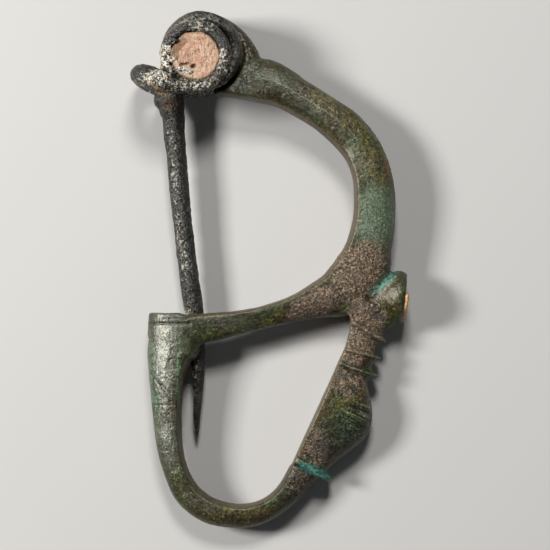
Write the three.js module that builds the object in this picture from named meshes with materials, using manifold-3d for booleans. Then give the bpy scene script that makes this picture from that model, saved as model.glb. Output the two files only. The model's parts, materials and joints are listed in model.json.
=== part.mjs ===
// Bronze fibula brooch with coral inlays: an arched bow, a coiled spring with its pin,
// a catch, and a foot that bends back on itself to a knob fused to the bow.
//
// It is drawn in millimetres in a flat working plane, with the bow's arch in X and Y and the
// depth of the brooch in Z, and is then laid down on its far side as it rests on a table.
import * as THREE from 'three';
import { mergeVertices } from 'three/addons/utils/BufferGeometryUtils.js';
import Module from 'manifold-3d';

const wasm = await Module();
wasm.setup();

const GAP = 0.3; // between pieces that touch
const BEYOND = 7; // a depth that clears every piece

// Spring: the coil's turns step inwards and sideways towards each end.
const COIL_CENTRE = [-9.13, 27.7];
const COIL_RADIUS = 4.25;
const END_TURN_CENTRE = [-9.82, 27.02];
const END_TURN_RADIUS = 3.7;
const WIRE_RADIUS = 0.83;
const END_TURN_Z = 4.85;
const PITCH = 1.74;
const CHORD = [-16.75, 24.9];
const CHORD_RADIUS = 1.2;
const ARM_RADIUS = 1.45;

// Head lug and the bar through the coil, which carries the coral discs.
const LUG_RADIUS = 4.6;
const LUG_HALF_DEPTH = 1;
const BAR_RADIUS = 2.2;

const SPRING_CORAL_RADIUS = END_TURN_RADIUS - WIRE_RADIUS - GAP;
const SPRING_CORAL_FACE = 5.35;
const SPRING_CORAL_BACK = 3.45;

// Catch: a gutter for the pin, open towards the pin and at the mouth.
const MOUTH_Y = -4.75;
const GUTTER_FRONT = -0.2;
const GUTTER_BACK = -3.3;
const GUTTER_OUTLINE = [[-13.9, -4], [-13.9, -8], [-13.2, -14], [-11.2, -19.2], [-7.5, -19.2], [-7.5, -4]];
const LIP_TRIM = [[-10.1, -4], [-10.6, -8], [-12.1, -13], [-11.6, -19], [-7.5, -19], [-7.5, -4]];
const MOUTH_TRIM = [[-20, MOUTH_Y], [-9.2, MOUTH_Y], [-9.2, -2], [-20, -2]];

// Returned foot: distances along its straight inner edge, and how far it reaches outwards.
const RETURN_START = new THREE.Vector3(1.88, -24.12, 0);
const RETURN_ALONG = new THREE.Vector3(0.4145, 0.91, 0).normalize();
const RETURN_OUTWARDS = new THREE.Vector3(RETURN_ALONG.y, -RETURN_ALONG.x, 0);

// Knob: a cone that opens away from the bow, rolled in at its rim, with a mouth a little aslant.
// Each station: x, y, radius, slope of the ring.
const KNOB_STATIONS = [
  [10.8, -3.6, 0.35, 0.19],
  [12.1, -3.35, 1.25, 0.19],
  [13.6, -3.1, 2.3, 0.17],
  [14.7, -2.85, 3.05, 0.12],
  [15.3, -2.78, 3.28, 0.05],
  [15.8, -2.8, 3.25, -0.03],
  [16.2, -2.88, 3.0, -0.1],
];
const KNOB_SOCKET_RADIUS = 2.75;
const KNOB_SOCKET_DEPTH = 1.2;
const KNOB_CORAL_PROUD = 0.55;
const KNOB_CORAL_BREAK = [[16.15, -2.35], [20, -2.6], [20, 2], [16, 2]];

// Each station of a swept bar: x, y, thickness in the plane, half depth, shift in depth.
const BOW_STATIONS = [
  [-7.6, 24.7, 4.6, 2, 0],
  [-5.1, 24.6, 5, 2.2, 0],
  [-1.3, 24.2, 5.6, 2.45, 0],
  [0.65, 23.5, 5.1, 2.5, 0],
  [2.55, 22.4, 4.65, 2.5, 0],
  [5.7, 20.5, 4.5, 2.5, 0],
  [8.8, 18.15, 4.9, 2.6, 0],
  [10.95, 15.5, 4.85, 2.7, 0],
  [12.05, 12.75, 4.95, 2.8, 0],
  [12.45, 9.75, 5.2, 2.85, 0],
  [12.35, 6.7, 5.3, 2.85, 0],
  [11.75, 3.65, 5.65, 2.85, 0],
  [10.85, 0.65, 6.9, 2.85, 0],
  [8.3, -2, 6.3, 2.8, 0],
  [5.05, -3.3, 4.4, 2.5, 0],
  [2.35, -4.25, 3.3, 2.1, 0.2],
  [-1.9, -5.4, 2.9, 1.65, 0.6],
  [-5.2, -6.05, 3.1, 1.4, 0.95],
  [-8, -6.55, 3.7, 1.35, 1.05],
  [-10.8, -6.9, 4, 1.35, 1.05],
];
const FOOT_STATIONS = [
  [-12.2, MOUTH_Y, 6.4, 3, -0.85],
  [-12.4, -5.4, 6.85, 3.15, -0.8],
  [-12.45, -7.2, 6.9, 3.2, -0.8],
  [-12.6, -8.6, 6.8, 3.2, -0.8],
  [-13.05, -9.7, 6, 3.2, -0.8],
  [-13.45, -12.1, 4.8, 3.15, -0.8],
  [-13.5, -14.8, 4.1, 3, -0.7],
  [-13.45, -18, 3.6, 2.6, -0.4],
  [-13.15, -21.4, 3.25, 2.2, -0.1],
  [-12.35, -24.55, 3.1, 2, 0],
  [-10.9, -27.35, 3.3, 1.95, 0],
  [-8.4, -29.3, 3.3, 1.95, 0],
  [-5, -30.1, 3.05, 1.95, 0],
  [-2.1, -29.75, 2.95, 1.95, 0],
  [0.3, -28.45, 2.85, 1.95, 0],
  [2, -26.8, 3.15, 2, 0],
  [3.4, -24.8, 3.7, 2.1, 0],
];
const HORN_STATIONS = [
  [-3.9, 24.4, 4.2, 2.0, 0],
  [-3.4, 26.6, 3.4, 1.9, 0],
  [-4.3, 29.2, 2.3, 1.55, 0],
  [-6.1, 31.25, 1.4, 1.2, 0],
  [-8.4, 32.3, 0.9, 1, 0],
  [-10.9, 32.15, 0.75, 0.9, 0],
  [-13.0, 30.6, 0.5, 0.7, 0],
];

// Outline of the returned foot: distance along, reach outwards, reach back past the inner edge.
// The collars stand at 0.9, 15.1, 17.4 and 19.7, and the baluster between 2 and 13.
const RETURN_PROFILE = [
  [-1.5, 3.3, 0], [-0.3, 3.6, 0], [0.25, 3.85, 0], [0.45, 5.1, 0], [1.25, 5.2, 0], [1.6, 4.6, 0],
  [2.4, 4.75, 0], [3.6, 5.25, 0], [5.4, 6.2, 0], [7.2, 6.95, 0], [8.7, 7.05, 0], [10.2, 6.7, 0],
  [11.6, 5.8, 0], [12.6, 5.0, 0], [13.4, 4.5, 0], [14.1, 4.6, 0], [14.9, 5.4, 0], [15.2, 5.45, 0],
  [15.5, 4.7, 0], [16.0, 4.3, 0], [16.6, 4.25, 0], [17.2, 4.8, 0], [17.5, 4.8, 0], [17.8, 4.2, 0],
  [18.4, 3.85, 0.1], [19.0, 3.95, 0.4], [19.5, 4.3, 0.9], [19.8, 4.3, 1.2], [20.2, 3.9, 1.7],
  [21.0, 4.1, 2.4], [21.9, 4.5, 2.6], [23, 4.2, 2.6],
];
const RETURN_DEPTH_SHARE = 0.45;

// Pin: x, y, depth and radius of the wire, from below the coil to the point.
const PIN_STATIONS = [
  [-13.6, 24.4, -2.35, 1.2],
  [-13.38, 22.25, -2.35, 1.95],
  [-13.1, 21.25, -2.35, 1.8],
  [-12.9, 20.4, -2.3, 1.45],
  [-12.7, 18.1, -2.25, 1.35],
  [-12.45, 15.6, -2.2, 1.28],
  [-11.9, 9.4, -2.0, 1.25],
  [-11.5, 5.6, -1.9, 1.17],
  [-11.05, 1.9, -1.8, 1.22],
  [-10.25, -4.4, -1.75, 1.22],
  [-9.82, -9.4, -1.75, 1.0],
  [-9.66, -12.5, -1.75, 0.8],
  [-9.72, -15.6, -1.75, 0.6],
  [-9.83, -18.1, -1.75, 0.46],
  [-9.8, -19.4, -1.75, 0.3],
  [-9.8, -20.45, -1.75, 0.08],
];

const bronze = new THREE.MeshStandardMaterial({ color: 0x6f7458, roughness: 0.5, metalness: 0.75 });
const wireMetal = new THREE.MeshStandardMaterial({ color: 0x4b4a45, roughness: 0.7, metalness: 0.6 });
const coral = new THREE.MeshStandardMaterial({ color: 0xd8b8a4, roughness: 0.6, metalness: 0 });

// Skins a row of closed rings, each with the same number of points, and caps both ends.
function loft(rings) {
  const sides = rings[0].length;
  const points = rings.flat();
  const faces = [];
  for (let r = 0; r + 1 < rings.length; r += 1) {
    for (let s = 0; s < sides; s += 1) {
      const a = r * sides + s;
      const b = r * sides + (s + 1) % sides;
      faces.push(a, b, b + sides, a, b + sides, a + sides);
    }
  }
  for (const ring of [0, rings.length - 1]) {
    const middle = points.length;
    points.push(mean(rings[ring]));
    for (let s = 0; s < sides; s += 1) {
      const a = ring * sides + s;
      const b = ring * sides + (s + 1) % sides;
      faces.push(...(ring === 0 ? [middle, b, a] : [middle, a, b]));
    }
  }
  return facingOut(points, faces);
}

function mean(points) {
  const sum = points.reduce((total, point) => total.add(point), new THREE.Vector3());
  return sum.divideScalar(points.length);
}

function facingOut(points, faces) {
  let volume = 0;
  for (let f = 0; f < faces.length; f += 3) {
    const [a, b, c] = [points[faces[f]], points[faces[f + 1]], points[faces[f + 2]]];
    volume += a.dot(b.clone().cross(c));
  }
  const geometry = new THREE.BufferGeometry().setFromPoints(points);
  geometry.setIndex(volume < 0 ? faces.slice().reverse() : faces);
  return geometry;
}

// A D-shaped ring: a low crown on the inner side that meets the broad outer side at two edges.
function dRing({ innerEdge, outwards, thickness, halfDepth, shift, crown }) {
  const outerSteps = 14;
  const innerSteps = 6;
  const fullness = 2 / 2.3;
  const ring = [];
  const add = (reach, depth) => ring.push(
    innerEdge.clone().addScaledVector(outwards, reach).setZ(shift + depth),
  );
  for (let i = 0; i <= outerSteps; i += 1) {
    const turn = Math.PI * i / outerSteps;
    const side = Math.sign(Math.round(Math.cos(turn) * 1e6));
    const swell = Math.sin(turn) ** fullness;
    add(crown + (thickness - crown) * swell, side * halfDepth * Math.abs(Math.cos(turn)) ** fullness);
  }
  for (let i = 1; i < innerSteps; i += 1) {
    const across = 2 * i / innerSteps - 1;
    add(crown * across * across, halfDepth * across);
  }
  return ring;
}

// A D-section bar swept through its stations; side is 1 where the outer side lies to the left.
function sweptBar(stations, side, stepsEach, crown) {
  const path = new THREE.CatmullRomCurve3(stations.map(([x, y]) => new THREE.Vector3(x, y, 0)));
  const sizes = new THREE.CatmullRomCurve3(stations.map(([, , t, d, s]) => new THREE.Vector3(t, d, s)));
  const steps = (stations.length - 1) * stepsEach;
  const rings = [];
  for (let i = 0; i <= steps; i += 1) {
    const middle = path.getPoint(i / steps);
    const along = path.getTangent(i / steps);
    const size = sizes.getPoint(i / steps);
    const outwards = new THREE.Vector3(-along.y * side, along.x * side, 0);
    rings.push(dRing({
      innerEdge: middle.addScaledVector(outwards, -size.x / 2),
      outwards,
      thickness: size.x,
      halfDepth: size.y,
      shift: size.z,
      crown,
    }));
  }
  return loft(rings);
}

// The returned foot, with its collars and baluster, up to where it runs into the bow.
function returnedFoot() {
  const rings = RETURN_PROFILE.map(([along, reach, back]) => dRing({
    innerEdge: RETURN_START.clone().addScaledVector(RETURN_ALONG, along)
      .addScaledVector(RETURN_OUTWARDS, -back),
    outwards: RETURN_OUTWARDS,
    thickness: reach + back,
    halfDepth: Math.min(reach, 6) * RETURN_DEPTH_SHARE + 0.2,
    shift: 0,
    crown: 0.5,
  }));
  return loft(rings);
}

// A round ring about a point, square to a direction.
function roundRing(centre, direction, radius, sides, sideways) {
  const across = sideways.clone().addScaledVector(direction, -sideways.dot(direction)).normalize();
  const up = direction.clone().cross(across);
  return Array.from({ length: sides }, (_, s) => {
    const turn = 2 * Math.PI * s / sides;
    return centre.clone().addScaledVector(across, radius * Math.cos(turn))
      .addScaledVector(up, radius * Math.sin(turn));
  });
}

function knobAxis(slope) {
  return new THREE.Vector3(1, slope, 0).normalize();
}

function knob() {
  const sideways = new THREE.Vector3(0, 0, 1);
  return loft(KNOB_STATIONS.map(([x, y, radius, slope]) => roundRing(
    new THREE.Vector3(x, y, 0), knobAxis(slope), radius, 28, sideways,
  )));
}

// A place on the knob's axis, so far out from its mouth.
function knobPlace(out) {
  const [x, y, , slope] = KNOB_STATIONS.at(-1);
  return new THREE.Vector3(x, y, 0).addScaledVector(knobAxis(slope), out);
}

// A disc or bar of round section from one point to another, with softened end edges.
function roundBar(from, to, radius, sides, softness = 0) {
  const along = to.clone().sub(from).normalize();
  const sideways = Math.abs(along.z) > 0.5 ? new THREE.Vector3(1, 0, 0) : new THREE.Vector3(0, 0, 1);
  const rings = [];
  if (softness) rings.push([from, radius - softness]);
  rings.push([from.clone().addScaledVector(along, softness), radius]);
  rings.push([to.clone().addScaledVector(along, -softness), radius]);
  if (softness) rings.push([to, radius - softness]);
  return loft(rings.map(([centre, size]) => roundRing(centre, along, size, sides, sideways)));
}

// A flat shape in the plane, standing between two depths.
function slab(corners, low, high) {
  const shape = new THREE.Shape(corners.map(([x, y]) => new THREE.Vector2(x, y)));
  return new THREE.ExtrudeGeometry(shape, { depth: high - low, bevelEnabled: false }).translate(0, 0, low);
}

// One half of the coil, from the end turn to the turn by the lug, ended after so many turns.
function coilHalf(side, lastTurn) {
  const firstTurn = -0.27;
  const stepsPerTurn = 20;
  const steps = Math.round((lastTurn - firstTurn) * stepsPerTurn);
  const stations = [];
  for (let i = 0; i <= steps; i += 1) {
    const turns = firstTurn + (lastTurn - firstTurn) * i / steps;
    const inwards = THREE.MathUtils.smoothstep(turns, 0.35, 1);
    const radius = THREE.MathUtils.lerp(END_TURN_RADIUS, COIL_RADIUS, inwards);
    const angle = 2 * Math.PI * turns;
    stations.push([
      THREE.MathUtils.lerp(END_TURN_CENTRE[0], COIL_CENTRE[0], inwards) + radius * Math.cos(angle),
      THREE.MathUtils.lerp(END_TURN_CENTRE[1], COIL_CENTRE[1], inwards) + radius * Math.sin(angle),
      side * (END_TURN_Z - PITCH * Math.max(turns, 0)),
      WIRE_RADIUS,
    ]);
  }
  return stations;
}

// The arm that leaves an end turn low down and swings round into the chord.
function chordArm(side) {
  return [
    [-10.6, 23.35, END_TURN_Z * side, WIRE_RADIUS],
    [-12.3, 23.4, END_TURN_Z * side, 1.05],
    [-14.1, 23.9, 4.7 * side, ARM_RADIUS],
    [-15.7, 24.5, 4 * side, ARM_RADIUS],
    [-16.6, 24.85, 2.6 * side, 1.3],
  ];
}

// The spring and pin: the pin runs up into the far half of the coil, the chord crosses outside
// to the near half, and that ends against the lug.
function springAndPin() {
  const chord = [...chordArm(1), [CHORD[0], CHORD[1], 0, CHORD_RADIUS], ...chordArm(-1).reverse()];
  const farCoil = coilHalf(-1, 1.47);
  const pin = [farCoil.at(-2), ...PIN_STATIONS];
  return toGeometry(joined([coilHalf(1, 1.55), chord, farCoil, pin].map((part) => wire(part, 10))));
}

// A round wire through points that each carry their own radius, turned without twist.
function wire(stations, sides) {
  const points = stations.map(([x, y, z]) => new THREE.Vector3(x, y, z));
  let sideways = new THREE.Vector3(0, 0, 1);
  const rings = points.map((point, i) => {
    const before = points[Math.max(i - 1, 0)];
    const after = points[Math.min(i + 1, points.length - 1)];
    const along = after.clone().sub(before).normalize();
    const ring = roundRing(point, along, stations[i][3], sides, sideways);
    sideways = sideways.addScaledVector(along, -sideways.dot(along)).normalize();
    return ring;
  });
  return loft(rings);
}

function toSolid(geometry) {
  const bare = geometry.clone();
  bare.deleteAttribute('normal');
  bare.deleteAttribute('uv');
  const merged = mergeVertices(bare, 1e-5);
  return new wasm.Manifold(new wasm.Mesh({
    numProp: 3,
    vertProperties: new Float32Array(merged.attributes.position.array),
    triVerts: new Uint32Array(merged.index.array),
  }));
}

function toGeometry(solid) {
  const mesh = solid.getMesh();
  const geometry = new THREE.BufferGeometry();
  geometry.setAttribute('position', new THREE.BufferAttribute(mesh.vertProperties.slice(), 3));
  geometry.setIndex(new THREE.BufferAttribute(mesh.triVerts.slice(), 1));
  return geometry;
}

function joined(geometries) {
  return geometries.map(toSolid).reduce((whole, piece) => whole.add(piece));
}

function atCoil(depth, centre = COIL_CENTRE) {
  return new THREE.Vector3(centre[0], centre[1], depth);
}

// The cast body: everything that is bronze apart from the wire.
function bowAndFoot() {
  const coilRoom = COIL_RADIUS + WIRE_RADIUS + GAP;
  const bow = sweptBar(BOW_STATIONS, 1, 2, 0.75);
  const foot = sweptBar(FOOT_STATIONS, -1, 2, 0.75);
  const horn = sweptBar(HORN_STATIONS, -1, 3, 0.2);
  const lug = roundBar(atCoil(-LUG_HALF_DEPTH), atCoil(LUG_HALF_DEPTH), LUG_RADIUS, 40, 0.2);
  const barEnd = SPRING_CORAL_BACK - GAP;
  const bar = roundBar(
    atCoil(-barEnd, END_TURN_CENTRE), atCoil(barEnd, END_TURN_CENTRE), BAR_RADIUS, 24,
  );
  const coilSpaces = [1, -1].map((side) => roundBar(
    atCoil(side * (LUG_HALF_DEPTH + GAP / 2)), atCoil(side * BEYOND), coilRoom, 40,
  ));
  const gutter = slab(GUTTER_OUTLINE, GUTTER_BACK, GUTTER_FRONT);
  const behindPin = slab(LIP_TRIM, -BEYOND, GUTTER_FRONT);
  const mouthTrim = slab(MOUTH_TRIM, -BEYOND, BEYOND);
  const socket = roundBar(knobPlace(2), knobPlace(-KNOB_SOCKET_DEPTH), KNOB_SOCKET_RADIUS, 28);
  let body = joined([bow, foot, returnedFoot(), knob(), horn]);
  for (const space of coilSpaces) body = body.subtract(toSolid(space));
  body = body.add(toSolid(lug)).add(toSolid(bar));
  for (const cut of [gutter, behindPin, mouthTrim, socket]) body = body.subtract(toSolid(cut));
  return toGeometry(body);
}

function springCoral(side) {
  return roundBar(
    atCoil(side * SPRING_CORAL_BACK, END_TURN_CENTRE),
    atCoil(side * SPRING_CORAL_FACE, END_TURN_CENTRE),
    SPRING_CORAL_RADIUS, 32, 0.15,
  );
}

// The knob's inlay stands proud of the mouth below; its upper part is broken away.
function knobCoral() {
  const inlay = roundBar(
    knobPlace(GAP - KNOB_SOCKET_DEPTH), knobPlace(KNOB_CORAL_PROUD), KNOB_SOCKET_RADIUS - GAP, 28, 0.2,
  );
  const broken = slab(KNOB_CORAL_BREAK, -BEYOND, BEYOND);
  return toGeometry(toSolid(inlay).subtract(toSolid(broken)));
}

function named(name, geometry, material) {
  const mesh = new THREE.Mesh(geometry, material);
  mesh.name = name;
  return mesh;
}

// Height, over the working plane's origin, of the highest plane of the given slopes that has
// every point above it, measured under the centre of mass.
function floorUnder(points, centre, slopeX, slopeY) {
  let lowest = Infinity;
  for (const p of points) {
    lowest = Math.min(lowest, p.z - slopeX * (p.x - centre.x) - slopeY * (p.y - centre.y));
  }
  return lowest;
}

// The greatest value of a function with one peak, found by narrowing a range by thirds.
function peak(value, low, high) {
  for (let i = 0; i < 60; i += 1) {
    const a = low + (high - low) / 3;
    const b = high - (high - low) / 3;
    if (value(a) < value(b)) low = a;
    else high = b;
  }
  return (low + high) / 2;
}

// Lays the brooch on its far side: the floor is the plane under its centre of mass that
// touches three of its lowest points.
function layDown(working) {
  const points = [];
  let volume = 0;
  const centre = new THREE.Vector3();
  for (const mesh of working.children) {
    const solid = mesh.geometry.index ? mesh.geometry : mergeVertices(mesh.geometry);
    const position = solid.attributes.position;
    const corner = (i) => new THREE.Vector3().fromBufferAttribute(position, solid.index.getX(i));
    for (let i = 0; i < solid.index.count; i += 3) {
      const [a, b, c] = [corner(i), corner(i + 1), corner(i + 2)];
      const share = a.dot(b.clone().cross(c)) / 6;
      volume += share;
      centre.addScaledVector(a.clone().add(b).add(c), share / 4);
      points.push(a);
    }
  }
  centre.divideScalar(volume);
  const bestY = (slopeX) => peak((slopeY) => floorUnder(points, centre, slopeX, slopeY), -0.5, 0.5);
  const slopeX = peak((slope) => floorUnder(points, centre, slope, bestY(slope)), -0.5, 0.5);
  const slopeY = bestY(slopeX);
  const floorNormal = new THREE.Vector3(-slopeX, -slopeY, 1).normalize();
  working.quaternion.setFromUnitVectors(floorNormal, new THREE.Vector3(0, 0, 1));
  working.updateMatrixWorld(true);
  const box = new THREE.Box3().setFromObject(working, true);
  working.position.set(-(box.min.x + box.max.x) / 2, -(box.min.y + box.max.y) / 2, -box.min.z);
}

const working = new THREE.Group();
working.add(
  named('bow_and_foot', bowAndFoot(), bronze),
  named('spring_and_pin', springAndPin(), wireMetal),
  named('near_spring_coral', springCoral(1), coral),
  named('far_spring_coral', springCoral(-1), coral),
  named('knob_coral', knobCoral(), coral),
);
layDown(working);

const group = new THREE.Group();
group.add(working);
group.updateMatrixWorld(true);
export default group;
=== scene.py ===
"""The visible brooch: a patinated bronze bow and foot, a sprung pin and three coral inlays.

Every piece is modelled in the brooch's own plane, in millimetres, with +Z towards the near
side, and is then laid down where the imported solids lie, in metres.
"""

from __future__ import annotations

import json
import logging
import math
from dataclasses import dataclass
from enum import Enum

import bpy
import numpy as np
from mathutils import Matrix, Vector


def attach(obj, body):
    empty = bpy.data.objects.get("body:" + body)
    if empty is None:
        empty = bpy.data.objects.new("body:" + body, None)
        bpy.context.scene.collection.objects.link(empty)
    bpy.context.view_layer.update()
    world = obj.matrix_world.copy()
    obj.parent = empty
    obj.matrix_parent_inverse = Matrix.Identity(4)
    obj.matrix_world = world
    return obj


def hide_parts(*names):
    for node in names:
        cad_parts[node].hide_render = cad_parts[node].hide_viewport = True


LOG = logging.getLogger("brooch")
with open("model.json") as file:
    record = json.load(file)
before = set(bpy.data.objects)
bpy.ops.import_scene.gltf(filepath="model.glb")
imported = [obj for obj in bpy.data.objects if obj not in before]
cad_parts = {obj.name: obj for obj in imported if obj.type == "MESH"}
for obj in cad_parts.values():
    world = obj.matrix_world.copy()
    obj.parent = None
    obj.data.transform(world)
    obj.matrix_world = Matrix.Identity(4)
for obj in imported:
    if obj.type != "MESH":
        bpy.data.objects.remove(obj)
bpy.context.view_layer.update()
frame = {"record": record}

MM = 0.001
VIEW_SPAN = 68.75
VIEW_DISTANCE = 350.0
# The near end of the spring carries the record's mount; this is its place in the brooch's plane.
MOUNT_PLACE = Vector((-8.3272, 27.1670, 5.35))

Point = tuple[float, ...]
Body = bpy.types.Object
Socket = bpy.types.NodeSocket


class Slot(Enum):
    """The record's material slots."""

    BRONZE = "bronze"
    WIRE = "wire"
    CORAL = "coral"


class Join(Enum):
    """How a second solid is brought into a first."""

    ADD = "UNION"
    CUT = "DIFFERENCE"


@dataclass(frozen=True)
class LaidPose:
    """Where the brooch lies: from its own plane in millimetres to the row frame in metres."""

    place: Matrix

    @staticmethod
    def from_record(record: dict) -> "LaidPose":
        """Finds the pose from the mount on the spring's near end.

        Args:
            record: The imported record.

        Returns:
            The pose.
        """
        mount = next(m for m in record["mounts"] if m["name"] == "spring_end")
        turn = Vector((0, 0, 1)).rotation_difference(Vector(mount["axis"])).to_matrix()
        shift = Vector(mount["pos_m"]) - turn @ (MOUNT_PLACE * MM)
        return LaidPose(Matrix.Translation(shift) @ turn.to_4x4() @ Matrix.Scale(MM, 4))

    def turn(self) -> Matrix:
        """The rotation alone."""
        return self.place.to_3x3().normalized()


POSE = LaidPose.from_record(frame["record"])


# ---------------------------------------------------------------- modelling moves


class Bench:
    """The modelling moves that every sub-assembly shares."""

    @staticmethod
    def clear() -> None:
        """Leaves edit mode and deselects everything."""
        if bpy.context.mode != "OBJECT":
            bpy.ops.object.mode_set(mode="OBJECT")
        bpy.ops.object.select_all(action="DESELECT")

    @staticmethod
    def take(obj: Body) -> None:
        """Makes one object the selected and active one."""
        Bench.clear()
        obj.select_set(True)
        bpy.context.view_layer.objects.active = obj

    @staticmethod
    def section(name: str, outline: list[tuple[float, float]]) -> Body:
        """Starts a bar with a filled section that stands square to +Y.

        Args:
            name: The object's name.
            outline: The section's corners, across and up, in order.

        Returns:
            The object, in edit mode with the section selected.
        """
        Bench.clear()
        count = len(outline)
        bpy.ops.mesh.primitive_circle_add(vertices=count, radius=1, fill_type="NGON")
        obj = bpy.context.object
        obj.name = name
        bpy.ops.object.mode_set(mode="EDIT")
        bpy.ops.mesh.select_all(action="SELECT")
        bpy.ops.transform.rotate(value=-math.pi / 2, orient_axis="X", center_override=(0, 0, 0))
        bpy.ops.mesh.select_all(action="DESELECT")
        bpy.ops.mesh.select_mode(type="VERT")
        for index, (across, up) in enumerate(outline):
            Bench.pick_vertices(obj, [index])
            here = obj.data.vertices[index].co
            move = Vector((across, 0, up)) - here
            bpy.ops.transform.translate(value=move)
        bpy.ops.mesh.select_all(action="SELECT")
        return obj

    @staticmethod
    def pick_vertices(obj: Body, indices: list[int]) -> None:
        """Selects some vertices, by their numbers, in edit mode."""
        bpy.ops.object.mode_set(mode="OBJECT")
        for part in (obj.data.vertices, obj.data.edges, obj.data.polygons):
            part.foreach_set("select", [False] * len(part))
        for index in indices:
            obj.data.vertices[index].select = True
        bpy.ops.object.mode_set(mode="EDIT")

    @staticmethod
    def sweep(name: str, outline: list[tuple[float, float]], rings: list["Ring"]) -> Body:
        """Draws a section out through a row of rings and closes both ends.

        Args:
            name: The object's name.
            outline: The unit section, across and up.
            rings: Where each ring stands, how it is turned and how big it is.

        Returns:
            The closed bar, in object mode.
        """
        obj = Bench.section(name, outline)
        last = Ring(Vector((0, 0, 0)), 0.0, 1.0, 1.0)
        for index, ring in enumerate(rings):
            if index:
                bpy.ops.mesh.extrude_region_move(
                    TRANSFORM_OT_translate={"value": ring.place - last.place}
                )
            else:
                bpy.ops.transform.translate(value=ring.place)
            turn = ring.angle - last.angle
            turn = (turn + math.pi) % (2 * math.pi) - math.pi
            bpy.ops.transform.rotate(value=-turn, orient_axis="Z", center_override=ring.place)
            bpy.ops.transform.resize(
                value=(ring.across / last.across, 1, ring.up / last.up),
                orient_type="GLOBAL",
                orient_matrix=Matrix.Rotation(ring.angle, 3, "Z"),
                orient_matrix_type="GLOBAL",
                center_override=ring.place,
            )
            last = ring
        Bench.face_out(obj)
        return obj

    @staticmethod
    def prism(name: str, corners: list[Point], low: float, high: float) -> Body:
        """A flat shape that stands between two depths.

        Args:
            name: The object's name.
            corners: The shape's corners.
            low: The lower depth.
            high: The upper depth.

        Returns:
            The closed prism.
        """
        Bench.clear()
        bpy.ops.mesh.primitive_circle_add(vertices=len(corners), radius=1, fill_type="NGON")
        obj = bpy.context.object
        obj.name = name
        bpy.ops.object.mode_set(mode="EDIT")
        bpy.ops.mesh.select_mode(type="VERT")
        for index, (x, y) in enumerate(corners):
            Bench.pick_vertices(obj, [index])
            bpy.ops.transform.translate(value=Vector((x, y, low)) - obj.data.vertices[index].co)
        bpy.ops.mesh.select_all(action="SELECT")
        bpy.ops.mesh.extrude_region_move(TRANSFORM_OT_translate={"value": (0, 0, high - low)})
        Bench.face_out(obj)
        return obj

    @staticmethod
    def rod(name: str, start: Vector, end: Vector, radius: float, sides: int = 64) -> Body:
        """A round rod between two points.

        Args:
            name: The object's name.
            start: The middle of one end.
            end: The middle of the other end.
            radius: The rod's radius.
            sides: How many flats stand for the round.

        Returns:
            The rod.
        """
        Bench.clear()
        along = end - start
        bpy.ops.mesh.primitive_cylinder_add(
            vertices=sides,
            radius=radius,
            depth=along.length,
            location=(start + end) / 2,
            rotation=along.to_track_quat("Z", "Y").to_euler(),
        )
        obj = bpy.context.object
        obj.name = name
        bpy.ops.object.transform_apply(location=True, rotation=True, scale=True)
        return obj

    @staticmethod
    def wire(name: str, points: list[Point]) -> Body:
        """A round wire through points that each carry their own radius.

        Args:
            name: The object's name.
            points: The places and radii.

        Returns:
            The wire as a mesh.
        """
        Bench.clear()
        curve = bpy.data.curves.new(name, "CURVE")
        curve.dimensions = "3D"
        curve.bevel_depth = 1.0
        curve.bevel_resolution = 7
        curve.use_fill_caps = True
        spline = curve.splines.new("POLY")
        spline.points.add(len(points) - 1)
        for at, (x, y, z, radius) in zip(spline.points, points):
            at.co = (x, y, z, 1)
            at.radius = radius
        obj = bpy.data.objects.new(name, curve)
        bpy.context.collection.objects.link(obj)
        Bench.take(obj)
        bpy.ops.object.convert(target="MESH")
        obj = bpy.context.object
        bpy.ops.object.mode_set(mode="EDIT")
        bpy.ops.mesh.select_all(action="SELECT")
        bpy.ops.mesh.remove_doubles(threshold=1e-4)
        Bench.face_out(obj)
        return obj

    @staticmethod
    def pebble(place: Point, radius: float, stretch: Point) -> Body:
        """A round lump, drawn out or flattened along each axis."""
        bpy.ops.mesh.primitive_ico_sphere_add(subdivisions=3, radius=radius, location=place)
        lump = bpy.context.object
        lump.scale = stretch
        bpy.ops.object.transform_apply(location=True, rotation=True, scale=True)
        return lump

    @staticmethod
    def face_out(obj: Body) -> None:
        """Turns every face outwards and leaves edit mode."""
        if bpy.context.mode != "EDIT_MESH":
            Bench.take(obj)
            bpy.ops.object.mode_set(mode="EDIT")
        bpy.ops.mesh.select_all(action="SELECT")
        bpy.ops.mesh.normals_make_consistent(inside=False)
        Bench.clear()

    @staticmethod
    def apply(obj: Body, kind: str, **settings: object) -> None:
        """Adds a modifier with its settings and applies it."""
        Bench.take(obj)
        modifier = obj.modifiers.new(kind.lower(), kind)
        for key, value in settings.items():
            setattr(modifier, key, value)
        bpy.ops.object.modifier_apply(modifier=modifier.name)

    @staticmethod
    def merge(base: Body, tool: Body, join: Join) -> None:
        """Adds a second solid to a first or cuts it out, and removes the second."""
        Bench.apply(base, "BOOLEAN", object=tool, operation=join.value, solver="MANIFOLD")
        bpy.data.objects.remove(tool)

    @staticmethod
    def remesh(obj: Body, grain: float) -> None:
        """Gives a solid one even skin."""
        Bench.apply(obj, "REMESH", mode="VOXEL", voxel_size=grain)

    @staticmethod
    def points(obj: Body) -> np.ndarray:
        """The vertices' places."""
        out = np.empty(len(obj.data.vertices) * 3, np.float32)
        obj.data.vertices.foreach_get("co", out)
        return out.reshape(-1, 3).astype(float)

    @staticmethod
    def normals(obj: Body) -> np.ndarray:
        """The vertices' normals."""
        out = np.empty(len(obj.data.vertices) * 3, np.float32)
        obj.data.vertices.foreach_get("normal", out)
        return out.reshape(-1, 3).astype(float)

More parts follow.
